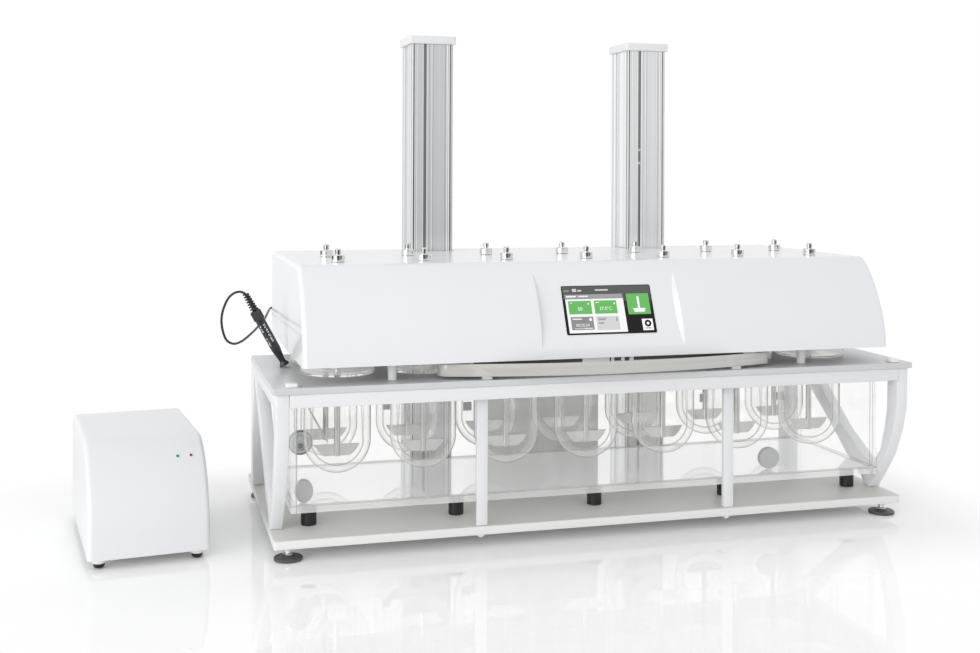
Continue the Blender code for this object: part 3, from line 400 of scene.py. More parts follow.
def makeCamera():
    data = bpy.data.cameras.new("photoCamera")
    data.lens, data.sensor_width = photograph["lens"], 36
    data.shift_y = photograph["shiftUp"]
    data.clip_start, data.clip_end = 0.05, 60
    camera = placed("photoCamera", data)
    camera.location = zero + Vector(photograph["place"])
    camera.rotation_euler = [math.radians(turn) for turn in (90, photograph["roll"], photograph["turn"])]
    bpy.context.scene.camera = camera


makeCamera()


# finishes

@recipe
def paint(board, where, colour, roughness, coat=0.0, peel=420.0, depth=0.00002, drift=0.012):
    # sprayed or moulded skin: a fine orange peel and a slow drift of shade
    skin = board.noise(where, peel, 3.0)
    return board.surface({
        "Base Color": board.shades(board.noise(where, 7.0), colour, 1 - drift, 1 + drift),
        "Roughness": roughness - 0.03 + skin * 0.06, "Coat Weight": coat, "Coat Roughness": 0.06,
        "Normal": board.bump(skin, depth)})


@recipe
def laminate(board, where, top, core, level):
    # a board with a printed warm grey face and white sawn edges below it
    fleck = board.noise(where, 900.0)
    shade = board.shades(fleck, top, 0.94, 1.05)
    shade = board.blend(board.noise(where, 3.0, 3.0) * 0.4, shade, scaled(top, 1.06))
    return board.surface({
        "Base Color": board.blend(board.parts(where)[2] > level, rgb(*core), shade),
        "Roughness": 0.36 + fleck * 0.12, "Normal": board.bump(fleck, 0.00003)})


@recipe
def metal(board, where, colour, roughness, grain=(1, 1, 1), scale=900.0, depth=0.00001, spread=0.10):
    # drawn, turned or brushed metal: the grain is long where a factor is small
    lines = board.noise(board.stretched(where, grain), scale)
    return board.surface({
        "Base Color": board.shades(board.noise(where, 12.0), colour, 0.95, 1.04), "Metallic": 1.0,
        "Roughness": roughness - spread / 2 + lines * spread, "Normal": board.bump(lines, depth)})


@recipe
def rubber(board, where, colour, roughness, scale=1500.0):
    grit = board.noise(where, scale, 3.0)
    return board.surface({
        "Base Color": board.shades(board.noise(where, 40.0), colour, 0.8, 1.3),
        "Roughness": roughness - 0.06 + grit * 0.12, "Normal": board.bump(grit, 0.00004)})


@recipe
def glow(board, where, colour, strength, gloss):
    # a lit part of a display, under its cover glass
    dots = board.noise(where, 2500.0, 0.0)
    return board.surface({
        "Base Color": rgb(0.01, 0.01, 0.01), "Roughness": gloss, "Specular IOR Level": 0.12,
        "Emission Color": board.shades(dots, colour, 0.97, 1.03), "Emission Strength": strength})


@recipe
def clearGlass(board, where, colours, amounts, paintedGlow, mirror=0.7):
    # see-through where it faces the viewer; where it turns away, a painted bright band that glows by
    # itself and painted dark lines stand in for refraction
    facing, gloss = board.sheen()
    amount = board.ramp(facing, [(at, (value, value, value)) for at, value in amounts])
    colour = board.ramp(facing, colours)
    clear = board.shader("BsdfTransparent", Color=rgb(0.992, 0.992, 0.99))
    shine = board.shader("BsdfGlossy", Color=rgb(1, 1, 1), Roughness=0.03)
    # painted light: the band's colour also glows, at the strength given
    body = board.surface({"Base Color": colour, "Roughness": 0.1, "Emission Color": colour,
                          "Emission Strength": paintedGlow})
    return board.mix(gloss * mirror, board.mix(amount, clear, body), shine)


@recipe
def clearSheet(board, where, tint, haze, walls):
    # glued clear sheets: painted bright corners that glow where the sheets meet, a painted dark line
    # beside them and just above the floor, a painted white veil at the foot, and a floor that is a real
    # mirror with a painted white reflection on it
    smear = board.noise(where, 5.0, 3.0)
    facing, gloss = board.sheen()
    x, y, z = board.parts(where)
    (xMiddle, xHalf), (yMiddle, yHalf), low = walls
    fine, skin = 0.0016, 0.002
    out = abs(x - xMiddle) - xHalf
    deep = abs(y - yMiddle) - yHalf
    # painted highlight: the corners where the sheets meet are whitened
    corner = (out > 0.0) * (deep > 0.0)
    foot = z < low
    line = ((out > -fine) * (deep > -fine) - corner).atLeast((z < low + fine) - foot)
    # painted reflection: the floor slab's level faces are whitened, its top most of all
    level = (board.normal()[2] > 0.5) * foot
    upward = level * (z > low - skin)
    clear = board.shader("BsdfTransparent", Color=tint)
    shine = board.shader("BsdfGlossy", Color=rgb(0.97, 0.97, 0.97), Roughness=0.03)
    tone = board.blend(line, rgb(0.93, 0.94, 0.94), rgb(0.34, 0.33, 0.31))
    # the haze and all the painted marks glow a little: painted light
    hazeAndPaintedGlow = board.surface({"Base Color": tone, "Roughness": 0.3, "Emission Color": tone,
                          "Emission Strength": 0.30})
    amount = smear * haze + (corner * 0.20).atLeast(foot * 0.10) + line * 0.62
    body = board.mix(amount.atLeast(level * 0.50 + upward * 0.47), clear, hazeAndPaintedGlow)
    return board.mix((gloss * (0.6 - foot * 0.45)).atLeast(upward * 0.55), body, shine)


# the painted bands of each face of a tower, reflections and the shade of grooves put into its colour, as
# (percent of the way across, brightness)
towerFace = {"edge": (-0.2555, 0.250), "spacing": 0.432, "sizes": (0.079, 0.086), "front": (
    (0, 1.0), (3.2, 0.05), (6.0, 0.78), (8.5, 0.58), (11.0, 0.88), (13.4, 0.65), (25.6, 0.86),
    (28.0, 0.24), (35.4, 0.88), (38.0, 0.73), (40.3, 0.48), (42.7, 0.63), (47.6, 0.92),
    (50.0, 0.52), (52.4, 0.64), (65.0, 0.67), (70.0, 0.64), (76.8, 0.69), (79.3, 0.46),
    (81.7, 0.64), (84.1, 1.0), (86.8, 0.46), (89.0, 1.0), (91.5, 0.05), (94.2, 0.80),
    (96.6, 0.50), (98.6, 0.84)), "side": (
    (0, 0.30), (8, 1.0), (17, 0.70), (27, 0.80), (46, 0.64), (60, 0.68), (74, 0.90), (84, 0.64),
    (93, 0.74))}


@recipe
def drawnProfile(board, where, level, foot):
    # drawn aluminium, with painted bands of reflection and groove shade along it, by their place across
    # each face; level is a painted brightness for the whole tower
    lines = board.noise(board.stretched(where, (1, 1, 0.02)), 1100.0)
    x, y, z = board.parts(where)
    out = x - (zero.x + towerFace["edge"][0])
    across = out.maths("MODULO", towerFace["spacing"]) * (1 / towerFace["sizes"][0])
    along = (y - (zero.y + towerFace["edge"][1])) * (1 / towerFace["sizes"][1])
    tones = []
    for place, bands in ((across, towerFace["front"]), (along, towerFace["side"])):
        stops = [(at / 100, [min(tone * level * tint, 1) for tint in (0.98, 0.995, 1.01)])
                 for at, tone in bands]
        tones.append(board.ramp(place, stops, "CONSTANT"))
    sideways = abs(board.normal()[0]) > 0.5
    streaks = board.noise(board.stretched(where, (1, 1, 0.004)), 420.0, 1.0)
    shade = board.shades(streaks, (1, 1, 1), 0.95, 1)
    shade = board.blend(z > zero.z + 0.230, scaled((1, 1, 1), foot / 1.25), shade)
    colour = board.blend(1.0, board.blend(sideways, *tones), shade, "MULTIPLY")
    return board.surface({
        "Base Color": colour, "Metallic": 0.75, "Roughness": 0.24 + lines * 0.14,
        "Normal": board.bump(lines, 0.000006)})


finishes = {name: make(name, *values) for name, (make, *values) in {
    "hoodWhite": (paint, (0.83, 0.845, 0.87), 0.30, 0.40),
    "boxWhite": (paint, (0.79, 0.805, 0.825), 0.34, 0.25),
    "capWhite": (paint, (0.80, 0.81, 0.83), 0.38),
    "boardWhite": (paint, (0.82, 0.832, 0.85), 0.36, 0.40, 250.0),
    "padWhite": (paint, (0.88, 0.89, 0.90), 0.30, 0.2),
    "shieldWhite": (paint, (0.55, 0.545, 0.515), 0.16, 0.8),
    "plateGrey": (paint, (0.64, 0.655, 0.67), 0.40, 0.18, 700.0, 0.00003, 0.03),
    "housingGrey": (paint, (0.78, 0.785, 0.775), 0.46, 0.0, 520.0, 0.00004, 0.03),
    "baseBoard": (laminate, (0.67, 0.665, 0.635), (0.83, 0.83, 0.82), zero.z - 0.0012),
    "turnedSteel": (metal, (0.72, 0.72, 0.71), 0.11, (1, 1, 8), 500.0, 0.000002, 0.04),
    "shaftSteel": (metal, (0.60, 0.60, 0.59), 0.14, (1, 1, 0.05), 1400.0, 0.000005, 0.06),
    "darkSteel": (metal, (0.20, 0.20, 0.21), 0.30),
    "chassisAluminium": (metal, (0.44, 0.44, 0.43), 0.40, (0.05, 1, 1), 800.0),
    "paddleCoat": (metal, (0.66, 0.66, 0.655), 0.24, (0.1, 1, 1), 700.0),
    "seamGrey": (paint, (0.62, 0.63, 0.64), 0.4),
    "gripGrey": (rubber, (0.060, 0.060, 0.062), 0.45),
    "markGrey": (paint, (0.74, 0.77, 0.82), 0.4),
    "footGrey": (rubber, (0.075, 0.072, 0.070), 0.40),
    "chrome": (metal, (0.70, 0.70, 0.695), 0.07, (1, 1, 1), 600.0, 0.000002, 0.03),
    "blackRubber": (rubber, (0.010, 0.010, 0.011), 0.42),
    # painted shade: the colour of the dark strip in the gap under the hood's front
    "sealBrown": (rubber, (0.070, 0.064, 0.058), 0.40),
    "softRubber": (rubber, (0.020, 0.020, 0.022), 0.55),
    "cableSkin": (rubber, (0.016, 0.016, 0.018), 0.38, 900.0),
    "probePlastic": (paint, (0.012, 0.013, 0.016), 0.30, 0.25, 900.0),
    "screenGlass": (glow, (0.004, 0.004, 0.004), 1.0, 0.08),
    "figureWhite": (glow, (0.95, 0.95, 0.95), 1.0, 0.2),
    "lampGreen": (glow, (0.03, 0.30, 0.16), 0.8, 0.2),
    "lampRed": (glow, (0.55, 0.03, 0.05), 0.8, 0.2),
    # two copies of one finish: the right tower is painted lighter than the left, for the light it gets
    "leftProfile": (drawnProfile, 1.0, 1.2),
    "rightProfile": (drawnProfile, 1.22, 1.25),
    # the clear finishes' ramps paint bright bands and dark lines where the glass turns away, and their
    # glow is painted light
    "vesselGlass": (
        clearGlass,
        [(0.0, (0.95, 0.955, 0.95)), (0.33, (0.9, 0.9, 0.895)), (0.36, (0.24, 0.235, 0.23)),
         (0.385, (0.24, 0.235, 0.23)), (0.42, (0.97, 0.97, 0.965)), (0.72, (0.98, 0.98, 0.975)),
         (0.76, (0.15, 0.145, 0.14)), (1.0, (0.15, 0.145, 0.14))],
        [(0.0, 0.002), (0.33, 0.006), (0.36, 0.42), (0.385, 0.42), (0.42, 0.05), (0.60, 0.07),
         (0.72, 0.14), (0.76, 0.90), (0.90, 0.90), (1.0, 0.60)], 0.5, 0.4),
    "vesselInside": (
        clearGlass, [(0.0, (0.95, 0.95, 0.945)), (0.6, (0.9, 0.9, 0.895)), (0.8, (0.35, 0.345, 0.34)),
                     (1.0, (0.35, 0.345, 0.34))],
        [(0.0, 0.0), (0.6, 0.03), (0.72, 0.06), (0.86, 0.26), (1.0, 0.2)], 0.4, 0.3),
    "coverClear": (
        clearGlass, [(0.0, (0.86, 0.86, 0.85)), (0.6, (0.74, 0.73, 0.70)), (1.0, (0.58, 0.56, 0.53))],
        [(0.0, 0.16), (0.5, 0.26), (0.85, 0.5), (1.0, 0.6)], 0.3),
    "fittingGrey": (paint, (0.50, 0.51, 0.51), 0.35, 0.2),
    "fittingDark": (paint, (0.13, 0.17, 0.18), 0.35, 0.2),
    "squareGrey": (paint, (0.52, 0.53, 0.53), 0.4),
    "bathSheet": (clearSheet, rgb(0.997, 0.997, 0.996), 0.02,
                  ((zero.x + 0.004, 0.5120), (zero.y + 0.0595, 0.1285), zero.z + 0.0402)),
}.items()}
print("finishes ready:", len(finishes))


# the probe's cable, first of the pieces

cable = {"radius": 0.002, "sides": 14, "step": 0.0035, "route": (
    (-0.57180, 0.0660, 0.35499), (-0.57371, 0.0660, 0.35850), (-0.57760, 0.0661, 0.36290),
    (-0.58420, 0.0663, 0.36520), (-0.59200, 0.0670, 0.36400), (-0.60150, 0.0700, 0.35640),
    (-0.60950, 0.0755, 0.33950), (-0.61300, 0.0830, 0.32000), (-0.61050, 0.0910, 0.29900),
    (-0.60350, 0.1010, 0.28150), (-0.59150, 0.1150, 0.27300), (-0.57700, 0.1350, 0.27350),
    (-0.56050, 0.1620, 0.28050), (-0.54250, 0.2020, 0.28950), (-0.52700, 0.2460, 0.29750),
    (-0.51700, 0.2900, 0.30330), (-0.51000, 0.3250, 0.30650), (-0.50300, 0.3440, 0.30800),
    (-0.49200, 0.3510, 0.30800), (-0.48200, 0.3450, 0.30720), (-0.47800, 0.3340, 0.30700),
    (-0.47800, 0.3283, 0.30700))}


def smoothRoute(points, step):
    # a centripetal curve through the points, read at even steps
    route = [Vector(point) for point in points]
    route = [2 * route[0] - route[1], *route, 2 * route[-1] - route[-2]]
    fine = []
    for a, b, c, d in zip(route, route[1:], route[2:], route[3:]):
        times = [0.0]
        for first, second in ((a, b), (b, c), (c, d)):
            times.append(times[-1] + math.sqrt((second - first).length))
        for read in range(12):
            at = times[1] + (times[2] - times[1]) * read / 12
            ab = a.lerp(b, (at - times[0]) / (times[1] - times[0]))
            bc = b.lerp(c, (at - times[1]) / (times[2] - times[1]))
            cd = c.lerp(d, (at - times[2]) / (times[3] - times[2]))
            abc = ab.lerp(bc, (at - times[0]) / (times[2] - times[0]))
            bcd = bc.lerp(cd, (at - times[1]) / (times[3] - times[1]))
            fine.append(abc.lerp(bcd, (at - times[1]) / (times[2] - times[1])))
    fine.append(route[-2])
    lengths = [0.0]
    for first, second in zip(fine, fine[1:]):
        lengths.append(lengths[-1] + (second - first).length)
    count = round(lengths[-1] / step)
    even = []
    for i in range(count + 1):
        target = lengths[-1] * i / count
        end = 1
        while end < len(fine) - 1 and lengths[end] < target:
            end += 1
        share = (target - lengths[end - 1]) / (lengths[end] - lengths[end - 1])
        even.append(fine[end - 1].lerp(fine[end], share))
    return even, lengths[-1]


def tube(points, radius, sides):
    # rings carried along the points with the least twist
    shape = bmesh.new()
    rings = []
    side = None
    for i, point in enumerate(points):
        ahead = (points[min(i + 1, len(points) - 1)] - points[max(i - 1, 0)]).normalized()
        side = side or ahead.orthogonal().normalized()
        side = (side - ahead * side.dot(ahead)).normalized()
        other = ahead.cross(side)
        rings.append(ringOf(shape, [point + (side * x + other * y) * radius for x, y in around(sides)]))
    return loft(shape, rings)


def makeCable():
    points, length = smoothRoute(cable["route"], cable["step"])
    piece = addPiece("probeCable", tube(points, cable["radius"], cable["sides"]), "cableSkin",
                     nodes=("probe_cable",), angle=50)
    path = [zero + point for point in points]
    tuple(path[0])
    print("cable", round(length, 3), "m")


makeCable()


# base plate, feet, boards

base = {"sides": (-0.546, 0.546, -0.1156, 0.336), "low": -0.014, "radius": 0.004, "edge": 0.001,
        "bolts": ((-0.216, -0.1034), (0.216, -0.1034))}
levellingFoot = {"rim": 0.0223, "places": {
    "front_left": (-0.522, -0.0951), "front_right": (0.522, -0.0951),
    "rear_left": (-0.522, 0.300), "rear_right": (0.522, 0.300)}}


def makeBase():
    shape = block(base["sides"], base["low"], 0, base["radius"], base["edge"])
    addPiece("basePlate", shape, "baseBoard", nodes=("base_plate",))
    r, low = levellingFoot["rim"], floorLevel
    for name, spot in levellingFoot["places"].items():
        shape = turned([(r - 0.0012, low), (r, low + 0.0010), (r, low + 0.0042),
                        (r - 0.0007, low + 0.0049), (r - 0.0032, low + 0.0049),
                        (r - 0.0040, low + 0.0043), (0.0125, low + 0.0052),
                        (0.0105, low + 0.0064)], 56, spot)
        addPiece("footPad_" + name, shape, "footGrey", nodes=("levelling_foot_" + name,))
        shape = turned([(0.0080, low + 0.0065), (0.0088, low + 0.0072), (0.0088, low + 0.0098),
                        (0.0080, low + 0.0105)], 6, spot)
        turned([(0.0046, low + 0.0106), (0.0050, low + 0.0110), (0.0050, -0.0190)], 24, spot,
               shape=shape)
        addPiece("footScrew_" + name, shape, "chrome")
        shape = turned([(0.0072, -0.0189), (0.0080, -0.0183), (0.0098, -0.0150), (0.0098, -0.0143)],
                       32, spot)
        addPiece("footCollar_" + name, shape, "padWhite")
    # bolts under the base, below the front posts
    shape = bmesh.new()
    for spot in base["bolts"]:
        turned([(0.0036, -0.0203), (0.0042, -0.0197), (0.0042, -0.0180), (0.0062, -0.0178),
                (0.0062, -0.0143)], 20, spot, shape=shape)
    addPiece("postBolts", shape, "padWhite")


def makeBoards():
    for side in ("left", "right"):
        for node, name, width in (("_side_support", "SideBoard", 0.0012),
                                  ("_rear_leg", "RearLeg", 0.001), ("_front_post", "FrontPost", 0.001)):
            refined(side + node, side + name, "boardWhite", width)
    refined("front_rail", "frontRail", "boardWhite", 0.0008)
    refined("rear_rail", "rearRail", "boardWhite", 0.0008)


makeBase()
makeBoards()
print("base and boards done")


# vessel plate with its openings, pads and pins

vesselPlate = {"sides": (-0.552, 0.552, -0.1426, 0.219), "low": 0.227, "opening": 0.0556,
               "probeHole": (0.005, (-0.505, 0.066)), "through": (0.220, 0.244),
               "pads": ((-0.531, -0.513, -0.138, -0.120), (0.513, 0.531, -0.138, -0.120)),
               "pins": ((-0.360, -0.098), (0.360, -0.098)), "dot": (-0.508, -0.130)}


def makeVesselPlate():
    low, high = vesselPlate["through"]
    radius, spot = vesselPlate["probeHole"]
    holes = turned([(radius, low), (radius, high)], 24, spot)
    for _, x, y in stations():
        radius = vesselPlate["opening"]
        turned([(radius, low), (radius, high)], 64, (x, y), shape=holes)
    plate = block(vesselPlate["sides"], vesselPlate["low"], plateTop, 0.003)
    addPiece("vesselPlate", carved(tool("plate", plate), tool("holes", holes)), "plateGrey",
             nodes=("vessel_plate",))
    pads, pins = bmesh.new(), bmesh.new()
    for sides in vesselPlate["pads"]:
        block(sides, onPlate, 0.2428, 0.003, 0.001, shape=pads)
    for spot in vesselPlate["pins"]:
        turned([(0.0075, onPlate), (0.0075, 0.2650), (0.0069, 0.2656)], 32, spot, shape=pins)
    addPiece("platePads", pads, "padWhite")
    addPiece("guidePins", pins, "padWhite")
    dot = turned([(0.0016, 0.2372), (0.0016, 0.2378)], 16, vesselPlate["dot"])
    addPiece("plateDot", dot, "darkSteel")


makeVesselPlate()
print("vessel plate done")


# the clear bath

bath = {"sides": (-0.516, 0.524, -0.077, 0.196), "low": 0.030, "high": 0.212, "wall": 0.008,
        "floor": 0.010, "foot": 0.0125, "feet": ((5, 2), (0.9728, 0.185), (0.004, 0.0595, 0))}


def makeBath():
    xLow, xHigh, yLow, yHigh = bath["sides"]
    wall, low, r = bath["wall"], bath["low"], bath["foot"]
    tank = tool("tank", block(bath["sides"], low, bath["high"], 0.0015, 0.0005))
    inside = tool("inside", prism(oblong(xLow + wall, xHigh - wall, yLow + wall, yHigh - wall),
                                  low + bath["floor"], bath["high"] + 0.02))
    addPiece("bathTank", carved(tank, inside), "bathSheet", nodes=("water_bath",))
    foot = turned([(r - 0.0008, 0.0003), (r, 0.0011), (r, low - 0.0010), (r - 0.0008, low - 0.0002)],
                  40)
    addPiece("bathFeet", overGrid(foot, "blackRubber", *bath["feet"]), None)


fitting = {"inlet": (-0.4845, 0.060, 0.1115), "radius": 0.0205, "core": 0.0042, "wallSide": -0.5079,
           "outlets": ((-0.4930, -0.058, 0.0590, 0.0145, 0.0180),
                       (0.3330, -0.040, 0.0600, 0.0190, 0.0185)),
           "squares": ((-0.3124, 0.1435), (-0.1628, 0.1347), (0.3120, 0.1290), (0.4770, 0.1250)),
           "marks": ((0.0345, 0.0016), (0.0385, 0.0009), (0.0425, 0.0012), (0.0475, 0.0009),
                     (0.0515, 0.0014), (0.0560, 0.0009), (0.0610, 0.0012), (0.0660, 0.0018),
                     (0.0740, 0.0009))}


def makeBathFittings():
    # the inflow behind the first vessel, on its pipe
    x, y, z = fitting["inlet"]
    r, core = fitting["radius"], fitting["core"]
    toFront = Matrix.Translation((x, y, z)) @ turning(90, "X")
    toWall = Matrix.Translation((fitting["wallSide"], y + 0.0170, z)) @ turning(90, "Y")
    pale = turned([(r - 0.0026, -0.0060), (r - 0.0026, 0.0010), (r - 0.0066, 0.0012),
                   (r - 0.0072, 0.0030)], 44, matrix=toFront)
    turned([(0.0070, -0.0240), (0.0070, -0.0062)], 28, matrix=toFront, shape=pale)
    turned([(0.0062, 0), (0.0062, 0.0200)], 28, matrix=toWall, shape=pale)
    dark = turned([(r - 0.0025, -0.0050), (r, -0.0046), (r, 0.0018), (r - 0.0004, 0.0022),
                   (r - 0.0021, 0.0022), (r - 0.0025, 0.0018), (r - 0.0025, -0.0050)], 44,
                  matrix=toFront)
    turned([(r - 0.0090, 0.0031), (r - 0.0078, 0.0031), (r - 0.0080, 0.0038), (r - 0.0088, 0.0038),
            (r - 0.0090, 0.0031)], 36, matrix=toFront, shape=dark)
    turned([(core, 0.0031), (core, 0.0075), (core - 0.0006, 0.0081)], 24,
           matrix=toFront @ Matrix.Translation((-0.0010, -0.0045, 0)), shape=dark)
    for shape in (pale, dark):
        bmesh.ops.remove_doubles(shape, verts=shape.verts, dist=0.000002)
    addPiece("bathInlet", pale, "fittingGrey")
    addPiece("bathInletRings", dark, "fittingDark")
    # the two round outlets near the floor, small pads on the rear wall, level marks on a corner
    shape = bmesh.new()
    for x, y, z, wide, tall in fitting["outlets"]:
        loft(shape, [
            ringOf(shape, [(x + wide * size * a, y + level, z + tall * size * b)
                           for a, b in around(36)])
            for level, size in ((0, 0.93), (0.0012, 1.0), (0.0108, 1.0), (0.0120, 0.93))])
    addPiece("bathOutlets", shape, "squareGrey")
    pads, marks = bmesh.new(), bmesh.new()
    for x, z in fitting["squares"]:
        prism(oblong(x - 0.0078, x + 0.0078, z - 0.0078, z + 0.0078), 0.1850, 0.1878, "y", pads)
    for level, tall in fitting["marks"]:
        prism(oblong(0.5222, 0.5238, level, level + tall), -0.0772, -0.0770, "y", marks)
    addPiece("bathPads", pads, "squareGrey")
    addPiece("levelMarks", marks, "darkSteel")


makeBath()
makeBathFittings()
print("bath done")


# glass vessels and their covers

vessel = {"radius": 0.055, "wall": 0.0025, "depth": 0.164, "flange": 0.061, "lip": 0.003,
          "seat": onPlate, "rim": 0.0014, "steps": 18}


def bowl(radius, centre):
    angles = [math.pi / 2 * i / vessel["steps"] for i in range(vessel["steps"] + 1)]
    return [(radius * math.sin(angle) if angle else 0, centre - radius * math.cos(angle))
            for angle in angles]


def makeVessels():
    r, wall, rim = vessel["radius"], vessel["wall"], vessel["rim"]
    centre = plateTop - vessel["depth"] + r
    seat, top = vessel["seat"], vessel["seat"] + vessel["lip"]
    outline = bowl(r, centre) + [(r, seat - 0.0012), (r + 0.0012, seat), (vessel["flange"] - rim, seat)]
    for i in range(7):
        angle = math.radians(-90 + 180 * i / 6)
        outline.append((vessel["flange"] - rim + rim * math.cos(angle),
                        (seat + top) / 2 + (top - seat) / 2 * math.sin(angle)))
    outline += [(r - wall + 0.0010, top), (r - wall, top - 0.0010), *reversed(bowl(r - wall, centre))]
    mesh = overGrid(turned(outline, 72), "vesselGlass")
    mesh.materials.clear()
    for name in ("vesselGlass", "vesselInside"):
        mesh.materials.append(finishes[name])
    for face in mesh.polygons:
        spot = face.center
        x = spot.x - round(spot.x / columnSpacing) * columnSpacing
        y = spot.y - (rowSpacing if spot.y > rowSpacing / 2 else 0)
        away = Vector((x, y, min(spot.z - centre, 0))).length
        face.material_index = int(away < r - wall / 2 and spot.z < seat)
    addPiece("glassVessels", mesh, None,
             nodes=[f"vessel_{number}" for number, _, _ in stations()], angle=60)
    # clear covers, which the head lifts off with it
    cover = turned([(0.0075, 0.2408), (0.0590, 0.2408), (0.0606, 0.2418), (0.0610, 0.2440),
                    (0.0610, 0.2520), (0.0600, 0.2532), (0.0590, 0.2520), (0.0588, 0.2450),
                    (0.0580, 0.2438), (0.0130, 0.2438), (0.0125, 0.2500), (0.0100, 0.2510),
                    (0.0075, 0.2500), (0.0075, 0.2408)], 64)
    bmesh.ops.remove_doubles(cover, verts=cover.verts, dist=0.00001)
    addPiece("vesselCovers", overGrid(cover, "coverClear"), None, "drive_head", angle=50)


makeVessels()
print("vessels done")


# stirrers

stirrer = {"shaft": 0.005, "tip": 0.439, "blade": 0.100, "bladeHeight": 0.019, "bladeTop": 0.03725,
           "bladeFoot": 0.021, "bladeThick": 0.004, "chuck": 0.011, "chuckLow": 0.4173,
           "chuckHigh": 0.4286}


def bladeOutline():
    # the sides slant inwards towards the foot and bulge a little
    top, foot, high = stirrer["bladeTop"], stirrer["bladeFoot"], stirrer["bladeHeight"]
    side = []
    for i in range(9):
        t = i / 8
        bulge = 0.0014 * 4 * t * (1 - t)
        side.append((foot + (top - foot) * t + bulge, high * t - bulge * 0.8))
    return side + [(-x, z) for x, z in reversed(side)]


def blade(x, y):
    shape = bmesh.new()
    half, edge = stirrer["bladeThick"] / 2, 0.0006
    middle = Vector((0, stirrer["bladeHeight"] / 2))
    rings = []
    for depth, inset in ((-half, edge), (-half + edge, 0), (half - edge, 0), (half, edge)):
        points = []
        for px, pz in bladeOutline():
            inward = (middle - Vector((px, pz))).normalized() * inset
            points.append((x + px + inward.x, y + depth, stirrer["blade"] + pz + inward.y))
        rings.append(ringOf(shape, points))
    return loft(shape, rings)


def makeStirrers():
    s = stirrer
    r, low, high, foot = s["chuck"], s["chuckLow"], s["chuckHigh"], s["blade"]
    for number, *spot in stations():
        def part(name, shape, finish, nodes=(), angle=32):
            body = f"stirrer_{number}"
            addPiece(f"stirrer{name}_{number}", shape, finish, body, nodes, angle)

        part("Shaft", turned([(s["shaft"] - 0.0006, foot - 0.0005), (s["shaft"], foot + 0.0001),
                              (s["shaft"], low - 0.0300)], 32, spot),
             "shaftSteel", (f"stirrer_{number}",))
        part("Blade", blade(*spot), "paddleCoat")
        part("Chuck", turned([(r - 0.0006, low), (r, low + 0.0006), (r, high - 0.0010),
                              (r - 0.0010, high), (0.0062, high), (0.0060, high - 0.0006)], 40, spot),
             "turnedSteel")
        part("Tip", turned([(0.0042, high - 0.0005), (0.0042, high + 0.0022), (0.0050, high + 0.0026),
                            (0.0050, s["tip"] - 0.0022), (0.0044, s["tip"] - 0.0010),
                            (0.0030, s["tip"] - 0.0002), (0, s["tip"])], 32, spot),
             "chrome", angle=16)
        # the clamp screw in the chuck's side, at a different turn on each
        place = (Matrix.Translation((*spot, (low + high) / 2)) @ turning(-118 + 47 * number, "Z")
                 @ turning(90, "Y"))
        part("Screw", turned([(0.0014, r - 0.002), (0.0014, r + 0.0001)], 16, matrix=place),
             "darkSteel")


makeStirrers()
print("stirrers done")


# drive head: the white hood with its sunk flat panel

head = {"half": 0.506, "front": -0.137, "rear": 0.320, "low": 0.265, "height": 0.152,
        "rake": 0.073, "wall": 0.003, "rearRadius": 0.010, "endRadius": 0.008,
        "panelHalf": 0.124, "panelLow": 0.016, "panelHigh": 0.134, "draft": 0.75,
        "screenUp": 0.0644, "shaftHole": (0.0056, 0.400, 0.430),
        "window": (-0.0797, 0.0797, -0.0432, 0.0432, 0.004),
        "seam": ((0.3190, 0.2994), (-0.1240, 0.3128), (-0.1240, 0.3139), (0.3190, 0.3005)),
        "shadeStrips": ((-0.2350, -0.0535), (-0.0055, 0.0285), (0.0365, 0.2350)),
        "blocks": ((-0.0530, -0.0060, 0.2535), (-0.0030, 0.0020, 0.2560), (0.0140, 0.0200, 0.2560),
                   (0.0290, 0.0360, 0.2550)),
        "shares": ((0.0, 1.0), (0.12, 0.978), (0.24, 0.935), (0.353, 0.872), (0.4625, 0.78),
                   (0.616, 0.625), (0.737, 0.475), (0.886, 0.235), (0.95, 0.1), (0.985, 0.0),
                   (1.0, -0.09))}


def fineCurve(points, steps):
    # extra points on a smooth curve through the given ones
    points = [Vector(point) for point in points]
    padded = [2 * points[0] - points[1], *points, 2 * points[-1] - points[-2]]
    fine = []
    for a, b, c, d in zip(padded, padded[1:], padded[2:], padded[3:]):
        for i in range(steps):
            t = i / steps
            fine.append(0.5 * (2 * b + (c - a) * t + (2 * a - 5 * b + 4 * c - d) * t * t
                               + (3 * b - 3 * c + d - a) * t ** 3))
    return fine + [points[-1]]


def frontCurve(shares, front, low, rake, height, steps):
    points = [(front + rake * (1 - ahead), low + height * up) for up, ahead in shares]
    return [(point.x, point.y) for point in fineCurve(points, steps)]


def withHeight(curve, height):
    # the curve with a point added at this height
    for i, (first, second) in enumerate(zip(curve, curve[1:])):
        if first[1] < height < second[1]:
            share = (height - first[1]) / (second[1] - first[1])
            point = (first[0] + (second[0] - first[0]) * share, height)
            return curve[:i + 1] + [point] + curve[i + 1:], point
    return curve, min(curve, key=lambda point: abs(point[1] - height))


def hoodProfile(front, rear, low, high, radius):
    # from the bottom rear edge, over the top, to the bottom front edge
    path = [(rear, low), (rear, low + 0.004), (rear, high - radius - 0.004)]
    for i in range(9):
        angle = math.radians(90 * i / 8)
        path.append((rear - radius + radius * math.cos(angle),
                     high - radius + radius * math.sin(angle)))
    return path + [(rear - radius - 0.004, high), (front[-1][0] + 0.004, high), *reversed(front)]


